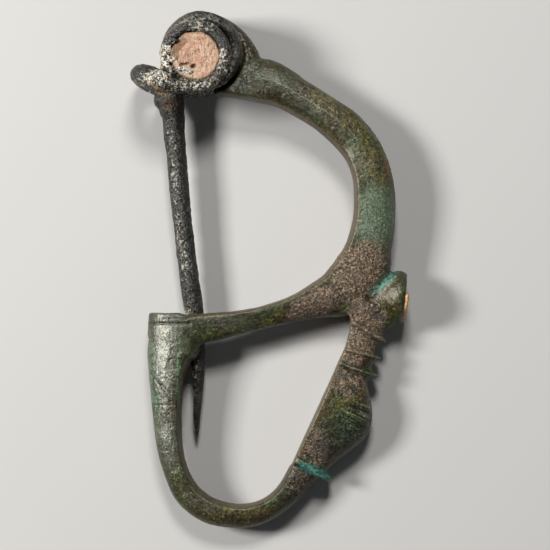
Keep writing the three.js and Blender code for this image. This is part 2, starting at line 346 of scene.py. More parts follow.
    @staticmethod
    def group(obj: Body, name: str, weights: np.ndarray) -> str:
        """Writes a vertex group from an array of weights.

        Args:
            obj: The object.
            name: The group's name.
            weights: One weight a vertex, from 0 to 1.

        Returns:
            The group's name.
        """
        levels = 24
        found = obj.vertex_groups.get(name)
        if found:
            obj.vertex_groups.remove(found)
        made = obj.vertex_groups.new(name=name)
        steps = np.rint(np.clip(weights, 0, 1) * levels).astype(int)
        for level in range(1, levels + 1):
            chosen = np.nonzero(steps == level)[0]
            if len(chosen):
                made.add(chosen.tolist(), level / levels, "REPLACE")
        return name

    @staticmethod
    def smooth(obj: Body, repeat: int, factor: float = 0.5, group: str = "") -> None:
        """Relaxes the skin, all over or in one group."""
        Bench.apply(obj, "SMOOTH", iterations=repeat, factor=factor, vertex_group=group)

    @staticmethod
    def roughen(
        obj: Body,
        texture: bpy.types.Texture,
        depth: float,
        group: str = "",
        level: float = 0.5,
    ) -> None:
        """Raises and sinks the skin by a texture.

        Args:
            obj: The object.
            texture: The texture to follow.
            depth: The whole height of the relief.
            group: The vertex group that limits it.
            level: The texture's value that leaves the skin where it is.
        """
        Bench.apply(
            obj,
            "DISPLACE",
            texture=texture,
            strength=depth,
            mid_level=level,
            texture_coords="LOCAL",
            vertex_group=group,
        )

    @staticmethod
    def attribute(obj: Body, name: str, values: np.ndarray) -> None:
        """Stores three numbers a vertex for the finish to read."""
        made = obj.data.attributes.new(name, "FLOAT_VECTOR", "POINT")
        made.data.foreach_set("vector", values.astype(np.float32).ravel())

    @staticmethod
    def marks(
        obj: Body, name: str, points: np.ndarray, *fields: np.ndarray | tuple
    ) -> None:
        """Stores three fields a vertex; each is an array or the patches that give it."""
        columns = [covered(points, f) if isinstance(f, tuple) else f for f in fields]
        Bench.attribute(obj, name, np.stack(columns, axis=1))

    @staticmethod
    def dress(obj: Body, pose: LaidPose, material: bpy.types.Material) -> None:
        """Lays a finished piece down and gives it its one material."""
        Bench.lay_down(obj, pose)
        obj.data.materials.clear()
        obj.data.materials.append(material)

    @staticmethod
    def thin(obj: Body, faces: int) -> None:
        """Brings a piece down to a number of triangles."""
        share = faces / (2 * len(obj.data.polygons))
        if share < 1:
            Bench.apply(obj, "DECIMATE", ratio=share)

    @staticmethod
    def lay_down(obj: Body, pose: LaidPose) -> None:
        """Puts a finished piece where it lies, with its place in its mesh."""
        obj.vertex_groups.clear()
        obj.matrix_world = pose.place
        Bench.take(obj)
        bpy.ops.object.transform_apply(location=True, rotation=True, scale=True)
        bpy.ops.object.shade_smooth()


@dataclass(frozen=True)
class Ring:
    """One ring of a swept bar: its place, its turn about Z and its two sizes."""

    place: Vector
    angle: float
    across: float
    up: float


@dataclass(frozen=True)
class Relief:
    """The textures that the surface relief follows; grain sizes are in millimetres."""

    @staticmethod
    def lumps(name: str, grain: float, depth: int = 2, hard: bool = False) -> bpy.types.Texture:
        """A cloudy relief.

        Args:
            name: The texture's name.
            grain: The size of a lump.
            depth: How many finer layers lie over it.
            hard: Whether the layers fold into creases.

        Returns:
            The texture.
        """
        made = bpy.data.textures.new(name, "CLOUDS")
        made.noise_scale = grain
        made.noise_depth = depth
        made.noise_type = "HARD_NOISE" if hard else "SOFT_NOISE"
        return made

    @staticmethod
    def pits(name: str, grain: float, open_share: float = 0.35) -> bpy.types.Texture:
        """Round pits in an otherwise even skin; the texture is 1 on the skin and 0 in a pit."""
        made = bpy.data.textures.new(name, "VORONOI")
        made.noise_scale = grain
        made.use_color_ramp = True
        ramp = made.color_ramp
        ramp.elements[0].position = 0.0
        ramp.elements[0].color = (0, 0, 0, 1)
        ramp.elements[1].position = open_share
        ramp.elements[1].color = (1, 1, 1, 1)
        return made


# ---------------------------------------------------------------- curves and fields


def eased(points: list[Point], steps: int) -> np.ndarray:
    """A smooth run through points, with the same number of steps in each span.

    Args:
        points: The points, of any number of coordinates.
        steps: The steps in a span.

    Returns:
        The run, one row a step.
    """
    p = np.array(points, float)
    p = np.vstack([2 * p[0] - p[1], p, 2 * p[-1] - p[-2]])
    out = []
    for i in range(1, len(p) - 2):
        a, b, c, d = p[i - 1 : i + 3]
        k0, k1, k2 = (max(np.linalg.norm(v) ** 0.5, 1e-4) for v in (b - a, c - b, d - c))
        t1 = ((b - a) / k0 - (c - a) / (k0 + k1) + (c - b) / k1) * k1
        t2 = ((c - b) / k1 - (d - b) / (k1 + k2) + (d - c) / k2) * k1
        for s in range(steps):
            t = s / steps
            out.append(
                (2 * t**3 - 3 * t**2 + 1) * b
                + (t**3 - 2 * t**2 + t) * t1
                + (3 * t**2 - 2 * t**3) * c
                + (t**3 - t**2) * t2
            )
    out.append(p[-2])
    return np.array(out)


def smoothstep(value: np.ndarray, low: float, high: float) -> np.ndarray:
    """0 below low, 1 above high and an easy rise between."""
    t = np.clip((value - low) / (high - low), 0, 1)
    return t * t * (3 - 2 * t)


def d_section(crown: float, outer: int = 30, inner: int = 12, fullness: float = 2 / 2.3) -> list:
    """A unit D: a low crown at the inner side and a full outer side that meet at two arrises.

    Args:
        crown: The inner side's crown, as a share of the thickness.
        outer: The steps round the outer side.
        inner: The steps across the inner side.
        fullness: How square the outer side is; 1 is an ellipse and less is squarer.

    Returns:
        The outline, across and up.
    """
    ring = []
    for i in range(outer + 1):
        turn = math.pi * i / outer
        cos, sin = math.cos(turn), math.sin(turn)
        up = math.copysign(abs(cos) ** fullness, cos) if abs(cos) > 1e-9 else 0.0
        ring.append((crown + (1 - crown) * max(sin, 0) ** fullness, up))
    for i in range(1, inner):
        across = 2 * i / inner - 1
        ring.append((crown * across * across, across))
    return ring


def round_section(sides: int = 48) -> list[tuple[float, float]]:
    """A unit circle."""
    turns = [2 * math.pi * i / sides for i in range(sides)]
    return [(math.cos(t), math.sin(t)) for t in turns]


@dataclass(frozen=True)
class Run:
    """A D-section bar's stations: place, thickness, half depth and shift at each."""

    stations: tuple[Point, ...]
    side: int
    crown: float
    steps: int = 4

    def rings(self) -> list[Ring]:
        """The rings of the swept bar, placed by their inner edge."""
        path = eased([s[:2] for s in self.stations], self.steps)
        sizes = eased([s[2:] for s in self.stations], self.steps)
        along = np.gradient(path, axis=0)
        rings = []
        for (x, y), (tx, ty), (thick, half, shift) in zip(path, along, sizes):
            out = Vector((-ty * self.side, tx * self.side, 0)).normalized()
            edge = Vector((x, y, shift)) - out * thick / 2
            rings.append(Ring(edge, math.atan2(out.y, out.x), thick, half))
        return rings

    def model(self, name: str) -> Body:
        """The swept bar."""
        mean_thickness = sum(s[2] for s in self.stations) / len(self.stations)
        return Bench.sweep(name, d_section(self.crown / mean_thickness), self.rings())


@dataclass(frozen=True)
class Patch:
    """A soft-edged oval where a finish lies, in the brooch's plane."""

    x: float
    y: float
    long: float
    wide: float
    turn: float = 0.0
    amount: float = 1.0

    def over(self, points: np.ndarray) -> np.ndarray:
        """How much of the patch lies at each point."""
        c, s = math.cos(math.radians(self.turn)), math.sin(math.radians(self.turn))
        dx, dy = points[:, 0] - self.x, points[:, 1] - self.y
        u, v = (dx * c + dy * s) / self.long, (dy * c - dx * s) / self.wide
        return self.amount * (1 - smoothstep(np.hypot(u, v), 0.35, 1.0))


def covered(points: np.ndarray, patches: tuple[Patch, ...]) -> np.ndarray:
    """The most that any of the patches lays on each point."""
    out = np.zeros(len(points))
    for patch in patches:
        out = np.maximum(out, patch.over(points))
    return out


# ---------------------------------------------------------------- shader maths


class Level:
    """A number that varies over a surface; Python's operators add Math nodes."""

    def __init__(self, shop: "Shop", socket: Socket) -> None:
        """Wraps a socket."""
        self.shop, self.socket = shop, socket

    def _math(self, operation: str, *values: object, clamp: bool = False) -> "Level":
        """Adds one Math node."""
        inputs = dict(enumerate(values))
        settings = {"operation": operation, "use_clamp": clamp}
        made = self.shop.node("ShaderNodeMath", settings, inputs)
        return Level(self.shop, made.outputs[0])

    def __add__(self, other: object) -> "Level":
        """Sum."""
        return self._math("ADD", self, other)

    __radd__ = __add__

    def __sub__(self, other: object) -> "Level":
        """Difference."""
        return self._math("SUBTRACT", self, other)

    def __rsub__(self, other: object) -> "Level":
        """Difference from a number."""
        return self._math("SUBTRACT", other, self)

    def __mul__(self, other: object) -> "Level":
        """Product."""
        return self._math("MULTIPLY", self, other)

    __rmul__ = __mul__

    def __pow__(self, other: float) -> "Level":
        """Power."""
        return self._math("POWER", self, other)

    def clamped(self) -> "Level":
        """Held between 0 and 1."""
        return self._math("ADD", self, 0.0, clamp=True)

    def most(self, other: object) -> "Level":
        """The greater of two."""
        return self._math("MAXIMUM", self, other)

    def rise(self, low: float, high: float) -> "Level":
        """0 at low and 1 at high, eased; low may be the greater."""
        made = self.shop.node(
            "ShaderNodeMapRange",
            {"interpolation_type": "SMOOTHSTEP", "clamp": True},
            {"Value": self, "From Min": low, "From Max": high, "To Min": 0.0, "To Max": 1.0},
        )
        return Level(self.shop, made.outputs[0])


class Shop:
    """One material's nodes."""

    def __init__(self, name: str) -> None:
        """Starts an empty material."""
        self.material = bpy.data.materials.new(name)
        self.material.use_nodes = True
        self.tree = self.material.node_tree
        self.tree.nodes.clear()

    def node(self, kind: str, settings: dict, inputs: dict) -> bpy.types.Node:
        """Adds a node.

        Args:
            kind: The node's type.
            settings: Its own settings.
            inputs: Values or links for its sockets, by name or number.

        Returns:
            The node.
        """
        made = self.tree.nodes.new(kind)
        for key, value in settings.items():
            setattr(made, key, value)
        for key, value in inputs.items():
            socket = made.inputs[key]
            if isinstance(value, Level):
                self.tree.links.new(value.socket, socket)
            elif isinstance(value, Socket):
                self.tree.links.new(value, socket)
            else:
                socket.default_value = value
        return made

    def attribute(self, name: str) -> tuple[Level, Level, Level]:
        """A piece's own attribute, as three numbers."""
        made = self.node("ShaderNodeAttribute", {"attribute_name": name}, {})
        parts = self.node("ShaderNodeSeparateXYZ", {}, {0: made.outputs["Vector"]})
        return tuple(Level(self, parts.outputs[i]) for i in range(3))

    def plane(self, pose: LaidPose) -> Socket:
        """Places in the brooch's own plane, in millimetres, from the Object coordinates."""
        back = pose.turn().transposed()
        place = self.node("ShaderNodeTexCoord", {}, {})
        made = self.node(
            "ShaderNodeMapping",
            {"vector_type": "POINT"},
            {
                "Vector": place.outputs["Object"],
                "Location": back @ pose.place.translation * (-1 / MM),
                "Rotation": back.to_euler(),
                "Scale": (1 / MM,) * 3,
            },
        )
        return made.outputs[0]

    def noise(
        self,
        where: Socket,
        grain: float,
        detail: float = 4.0,
        roughness: float = 0.55,
        stretch: Point = (1, 1, 1),
        shift: Point = (0, 0, 0),
        twist: float = 0.0,
    ) -> Level:
        """A cloudy field from 0 to 1.

        Args:
            where: The places to read.
            grain: The size of a cloud, in millimetres.
            detail: How many finer layers it has.
            roughness: How strong they are.
            stretch: How much each direction is drawn out.
            shift: Where the field is read from.
            twist: How far it is distorted.

        Returns:
            The field.
        """
        scaled = self.node(
            "ShaderNodeMapping",
            {"vector_type": "POINT"},
            {"Vector": where, "Location": shift, "Scale": tuple(1 / (grain * s) for s in stretch)},
        )
        made = self.node(
            "ShaderNodeTexNoise",
            {},
            {
                "Vector": scaled.outputs[0],
                "Scale": 1.0,
                "Detail": detail,
                "Roughness": roughness,
                "Distortion": twist,
            },
        )
        return Level(self, made.outputs[0])

    def cells(self, where: Socket, grain: float) -> Level:
        """The distance to scattered points, in grains."""
        made = self.node(
            "ShaderNodeTexVoronoi",
            {"feature": "F1"},
            {"Vector": where, "Scale": 1 / grain, "Randomness": 1.0},
        )
        return Level(self, made.outputs["Distance"])

    def mix(self, share: object, first: object, second: object) -> Socket:
        """Blends two colours."""
        made = self.node("ShaderNodeMix", {"data_type": "RGBA"}, {})
        for key, value in ((0, share), (6, first), (7, second)):
            socket = made.inputs[key]
            if isinstance(value, Level):
                self.tree.links.new(value.socket, socket)
            elif isinstance(value, Socket):
                self.tree.links.new(value, socket)
            else:
                socket.default_value = value if key == 0 else (*value, 1)
        return made.outputs[2]

    def coat(
        self, colour: Socket, share: Level, over: object
    ) -> Socket:
        """Lays one colour over another by a share held between 0 and 1."""
        return self.mix(share.clamped(), colour, over)

    def shade(self, colour: Socket, value: Level) -> Socket:
        """Multiplies a colour by a number."""
        made = self.node(
            "ShaderNodeVectorMath", {"operation": "SCALE"}, {0: colour, "Scale": value}
        )
        return made.outputs[0]

    def finish(
        self,
        colour: Socket,
        roughness: object,
        metallic: object,
        height: Level,
        depth: float,
        specular: float = 0.5,
        density: float = 1.5,
    ) -> bpy.types.Material:
        """Ends the material in one shader.

        Args:
            colour: The base colour.
            roughness: The roughness.
            metallic: How metallic it is.
            height: The fine relief, from 0 to 1.
            depth: The relief's height in millimetres.
            specular: The shader's specular level.
            density: The shader's refractive index.

        Returns:
            The material.
        """
        relief = {"Height": height, "Distance": depth * MM, "Strength": 1.0}
        bump = self.node("ShaderNodeBump", {}, relief)
        shader = self.node(
            "ShaderNodeBsdfPrincipled",
            {},
            {
                "Base Color": colour,
                "Roughness": roughness,
                "Metallic": metallic,
                "Specular IOR Level": specular,
                "IOR": density,
                "Normal": bump.outputs[0],
            },
        )
        self.node("ShaderNodeOutputMaterial", {}, {"Surface": shader.outputs[0]})
        return self.material


# ---------------------------------------------------------------- finishes


@dataclass(frozen=True)
class CastPatina:
    """Green and brown patina on cast bronze, with earth crust, verdigris and rubbed places, and
    painted shade and highlights.
    """

    dark_olive: Point = (0.008, 0.010, 0.004)
    olive: Point = (0.046, 0.054, 0.013)
    grey_green: Point = (0.040, 0.047, 0.038)
    pale_green: Point = (0.105, 0.142, 0.092)
    gold: Point = (0.120, 0.086, 0.019)
    red_brown: Point = (0.040, 0.023, 0.009)
    inside: Point = (0.062, 0.040, 0.014)
    earth: Point = (0.190, 0.126, 0.074)
    earth_dark_and_shade: Point = (0.010, 0.0065, 0.004)
    verdigris: Point = (0.050, 0.120, 0.058)
    turquoise: Point = (0.050, 0.230, 0.175)
    turquoise_dark: Point = (0.008, 0.030, 0.026)
    lip_green_and_highlight: Point = (0.210, 0.250, 0.170)
    wear_and_highlight: Point = (0.20, 0.19, 0.155)
    stain: Point = (0.11, 0.052, 0.011)
    mineral: Point = (0.55, 0.51, 0.42)

    def material(self, pose: LaidPose) -> bpy.types.Material:
        """Builds the patina from the casting's attributes and its place."""
        shop = Shop("cast_patina")
        where = shop.plane(pose)
        _, side, _ = shop.attribute("lay")
        crust, polish_and_highlight, green = shop.attribute("finish_and_light_a")
        stain, pale, turquoise = shop.attribute("finish_b")
        relief, groove, speck = shop.attribute("finish_and_light_c")
        golden, umber_and_shade, collar = shop.attribute("finish_and_light_d")
        brushed, _, _ = shop.attribute("finish_e")
        lay = shop.node("ShaderNodeAttribute", {"attribute_name": "lay"}, {}).outputs["Vector"]

        broad = shop.noise(where, 4.5, 3)
        cloud = shop.noise(where, 1.5, 5, 0.62, shift=(7, 3, 1))
        fine = shop.noise(where, 0.34, 5, 0.72, shift=(3, 9, 4))
        grit = shop.noise(where, 0.18, 3, 0.75, shift=(1, 5, 8))
        streak = shop.noise(lay, 0.30, 4, 0.65, stretch=(14, 0.8, 0.6))
        scratch = shop.noise(lay, 0.16, 3, 0.6, stretch=(10, 0.6, 1.0), shift=(4, 2, 2))
        across = shop.noise(lay, 0.17, 3, 0.7, stretch=(1, 9, 9), shift=(2, 6, 2))
        pits = shop.cells(where, 0.36).rise(0.12, 0.28)
        pit_zone = shop.noise(where, 2.0, 3, shift=(4, 4, 9)).rise(0.44, 0.60)

        body = (0.40 * cloud + 0.25 * streak + 0.35 * fine).rise(0.38, 0.62)
        colour = shop.mix(body, self.dark_olive, self.olive)
        colour = shop.coat(colour, polish_and_highlight * (0.35 + 0.8 * cloud), self.grey_green)
        colour = shop.coat(colour, pale * (0.45 + 0.7 * fine), self.pale_green)
        gilt = golden * (0.35 * cloud + 0.65 * fine).rise(0.42, 0.58) * 0.9
        colour = shop.mix(gilt.clamped(), colour, self.gold)
        brown = (broad.rise(0.46, 0.64) * 0.6 * (1 - pale)).clamped()
        colour = shop.mix(brown, colour, self.red_brown)
        inner = side.rise(-0.62, -0.88)
        colour = shop.coat(colour, inner * 0.9, self.inside)
        # Dark earth, and painted shade where the umber patches lie.
        colour = shop.coat(colour, umber_and_shade * (0.3 + 0.7 * cloud), self.earth_dark_and_shade)
        edge_green = (green * (0.7 * fine + 0.3 * cloud).rise(0.46, 0.56)).clamped()
        colour = shop.mix(edge_green, colour, self.verdigris)
        spots = fine.rise(0.57, 0.66) * cloud.rise(0.44, 0.60) * 0.8
        colour = shop.mix(spots.clamped(), colour, self.verdigris)
        # Rubbed bronze and painted highlight: a pale grey laid over the polished places.
        wear_and_highlight = (polish_and_highlight * (0.10 + 0.9 * streak) * (0.4 + fine) * (1 - spots)).clamped()
        colour = shop.coat(colour, wear_and_highlight * 0.6, self.wear_and_highlight)
        edge = (cloud - 0.5) * 1.9 + (fine - 0.5) * 1.6
        crusted = (crust * 1.25 + edge * crust.rise(0.0, 0.2) - 0.34).rise(0.0, 0.6)
        earth = shop.mix((0.5 * fine + 0.5 * grit).rise(0.40, 0.60), self.earth_dark_and_shade, self.earth)
        earth = shop.mix((umber_and_shade * 0.7).clamped(), earth, self.earth_dark_and_shade)
        colour = shop.coat(colour, crusted * 0.92, earth)
        colour = shop.coat(colour, stain * (0.2 + 0.8 * cloud), self.stain)
        flecks = (0.6 * grit + 0.4 * fine).rise(0.56, 0.64)
        white = ((speck + 0.22 * crusted) * flecks).clamped()
        # Painted shade: darker where the skin sinks below its surroundings, most in the hollows
        # under the moulded lips.
        recess_shade = 1 - (0.5 + 0.45 * collar) * relief.rise(0.0, -0.12)
        ruled = (across - 0.5) * brushed * 3.0
        grain = (0.85 * fine + 0.85 * grit + 0.3 * scratch + ruled).most(0.3) ** 4
        colour = shop.shade(colour, grain * recess_shade)
        colour = shop.mix(white, colour, self.mineral)
        enamel = shop.mix(fine.rise(0.38, 0.60), self.turquoise_dark, self.turquoise)
        blue = (turquoise * 1.6 * fine.rise(0.25, 0.45)).clamped()
        colour = shop.mix(blue, colour, enamel)
        # Pale green on the ridges and the moulded lips: part patina, part painted highlight.
        ridge_tint_and_highlight = (relief.rise(0.04, 0.13) * (2.4 * fine - 0.6)).clamped()
        colour = shop.coat(colour, ridge_tint_and_highlight * (0.35 + 0.6 * collar), self.lip_green_and_highlight)
        colour = shop.coat(colour, groove * 0.85, self.earth_dark_and_shade)
        pocked = (1 - pits) * (pit_zone * 0.75).most(crusted * 0.8)
        colour = shop.mix(pocked.clamped(), colour, self.earth_dark_and_shade)

        roughness = 0.40 + 0.22 * crusted + 0.35 * (fine - 0.5) + 0.40 * (grit - 0.5) + 0.10 * spots
        roughness = (roughness + 0.10 * pale - 0.05 * polish_and_highlight + 0.15 * blue + 0.12 * white).clamped()
        metallic = (0.20 + 0.40 * wear_and_highlight - 0.20 * crusted - 0.10 * pale - 0.2 * edge_green).clamped()
        height = (
            0.30 * fine * (0.45 + crusted)
            + 0.26 * grit * (0.40 + 0.6 * crusted)
            + (0.16 * streak + 0.14 * scratch) * (1 - crusted)
            + 0.5 * across * brushed
            + 0.25 * pits * pit_zone.most(crusted)
        )
        return shop.finish(colour, roughness, metallic, height, 0.20, 0.62, 1.5)


@dataclass(frozen=True)
class WirePatina:
    """Grey-black corroded wire, speckled with pale mineral and rusty brown, with a painted
    highlight along its smooth turns and painted shade in the gaps between turns.
    """

    black: Point = (0.004, 0.004, 0.003)
    grey: Point = (0.022, 0.021, 0.016)
    highlight_grey: Point = (0.22, 0.20, 0.17)
    mineral: Point = (0.62, 0.60, 0.52)
    ochre: Point = (0.30, 0.19, 0.065)
    rust: Point = (0.055, 0.024, 0.007)
    green: Point = (0.026, 0.038, 0.019)

    def material(self, pose: LaidPose) -> bpy.types.Material:
        """Builds the patina from the wire's attributes and its place."""
        shop = Shop("wire_patina")
        where = shop.plane(pose)
        lay = shop.node("ShaderNodeAttribute", {"attribute_name": "lay"}, {}).outputs["Vector"]
        rust, pale, smooth = shop.attribute("finish_and_light_a")
        relief, gold, _ = shop.attribute("finish_and_light_c")
        cloud = shop.noise(where, 1.3, 5, 0.6)
        fine = shop.noise(where, 0.38, 5, 0.72, shift=(3, 2, 5))
        grit = shop.noise(where, 0.15, 4, 0.7, shift=(8, 5, 2))
        streak = shop.noise(lay, 0.3, 4, 0.6, stretch=(9, 1, 1))
        pits = shop.cells(where, 0.42).rise(0.14, 0.36)

        body = (0.4 * cloud + 0.25 * streak + 0.35 * fine).rise(0.42, 0.64)
        colour = shop.mix(body, self.black, self.grey)
        colour = shop.coat(colour, cloud.rise(0.54, 0.70) * 0.7, self.green)
        # Painted highlight: a pale grey laid along the smooth turns.
        smooth_turn_highlight = (smooth * (0.2 + 0.8 * streak)).clamped()
        colour = shop.coat(colour, smooth_turn_highlight * 0.45, self.highlight_grey)
        rusty = (rust * (0.2 + 1.3 * cloud)).clamped()
        colour = shop.coat(colour, rusty * 0.85, self.rust)
        colour = shop.shade(colour, (fine + grit) ** 4)
        peaks = 0.40 * grit + 0.40 * fine + 0.20 * cloud + 0.7 * relief
        flecks = (peaks + 0.07 * pale).rise(0.555, 0.60)
        # Pale flecks; on the pin's left half they also stand in for the light.
        white = ((0.10 + 0.90 * pale) * flecks * (1 - smooth)).clamped()
        tint = shop.noise(where, 0.55, 3, 0.6, shift=(2, 8, 6)).rise(0.50, 0.62)
        mineral = shop.mix(tint, self.mineral, self.ochre)
        colour = shop.coat(colour, white * (1 - 0.8 * rusty), mineral)
        colour = shop.coat(colour, gold * fine.rise(0.4, 0.62) * 0.8, self.ochre)
        # Painted shade: the gaps between the turns, where the skin sinks below its surroundings,
        # are coated near black.
        hollow = relief.rise(0.0, -0.13)
        colour = shop.coat(colour, hollow * 0.92, self.black)
        colour = shop.coat(colour, (1 - pits) * 0.75 * (1 - smooth), self.black)

        roughness = 0.30 + 0.50 * (fine - 0.4) + 0.16 * white
        roughness = (roughness + 0.12 * rusty - 0.06 * smooth).clamped()
        metallic = (0.30 - 0.3 * white - 0.2 * rusty).clamped()
        rough = 1 - 0.8 * smooth
        height = rough * (0.42 * fine + 0.30 * grit + 0.35 * pits) + 0.1 * streak
        return shop.finish(colour, roughness, metallic, height, 0.28, 0.7, 1.5)


@dataclass(frozen=True)
class CoralFinish:
    """Faded coral, salmon to cream, brown where it is stained, darkened in its recesses as painted
    shade.
    """

    salmon: Point
    cream: Point
    stained: Point
    name: str

    def material(self, pose: LaidPose) -> bpy.types.Material:
        """Builds the coral from its attributes and its place."""
        shop = Shop(self.name)
        where = shop.plane(pose)
        stain, recess_shade, grey = shop.attribute("finish_and_light_a")
        cloud = shop.noise(where, 1.3, 5, 0.6)
        fine = shop.noise(where, 0.32, 5, 0.7, shift=(5, 2, 7))
        scratch = shop.noise(where, 0.20, 3, 0.65, stretch=(1, 5, 1), shift=(1, 1, 4), twist=0.6)
        pores = shop.cells(where, 0.34).rise(0.10, 0.26)
        colour = shop.mix(cloud.rise(0.36, 0.66), self.salmon, self.cream)
        lines = scratch.rise(0.54, 0.64) * 0.55
        colour = shop.mix(lines.clamped(), colour, self.stained)
        # Stain and painted shade, from the attribute, broken up by the clouds.
        stain_and_shade = (stain * 1.4 + (cloud - 0.5) * 1.4 + (fine - 0.5) * 1.4 - 0.1).rise(0.15, 0.65)
        colour = shop.coat(colour, stain_and_shade * 0.8, self.stained)
        colour = shop.coat(colour, (1 - pores) * 0.35, self.stained)
        # Painted shade: near black in the holes, chips and other recesses.
        colour = shop.coat(colour, recess_shade * 0.92, (0.035, 0.022, 0.012))
        colour = shop.coat(colour, grey * fine.rise(0.3, 0.6), (0.30, 0.29, 0.23))
        colour = shop.shade(colour, (0.5 + fine).most(0.4) ** 2)
        roughness = (0.50 + 0.3 * (fine - 0.4) + 0.15 * stain_and_shade).clamped()
        height = 0.55 * fine + 0.65 * scratch + 0.3 * pores + 0.5 * cloud
        return shop.finish(colour, roughness, 0.0, height, 0.30, 0.5)


# ---------------------------------------------------------------- sub-assemblies


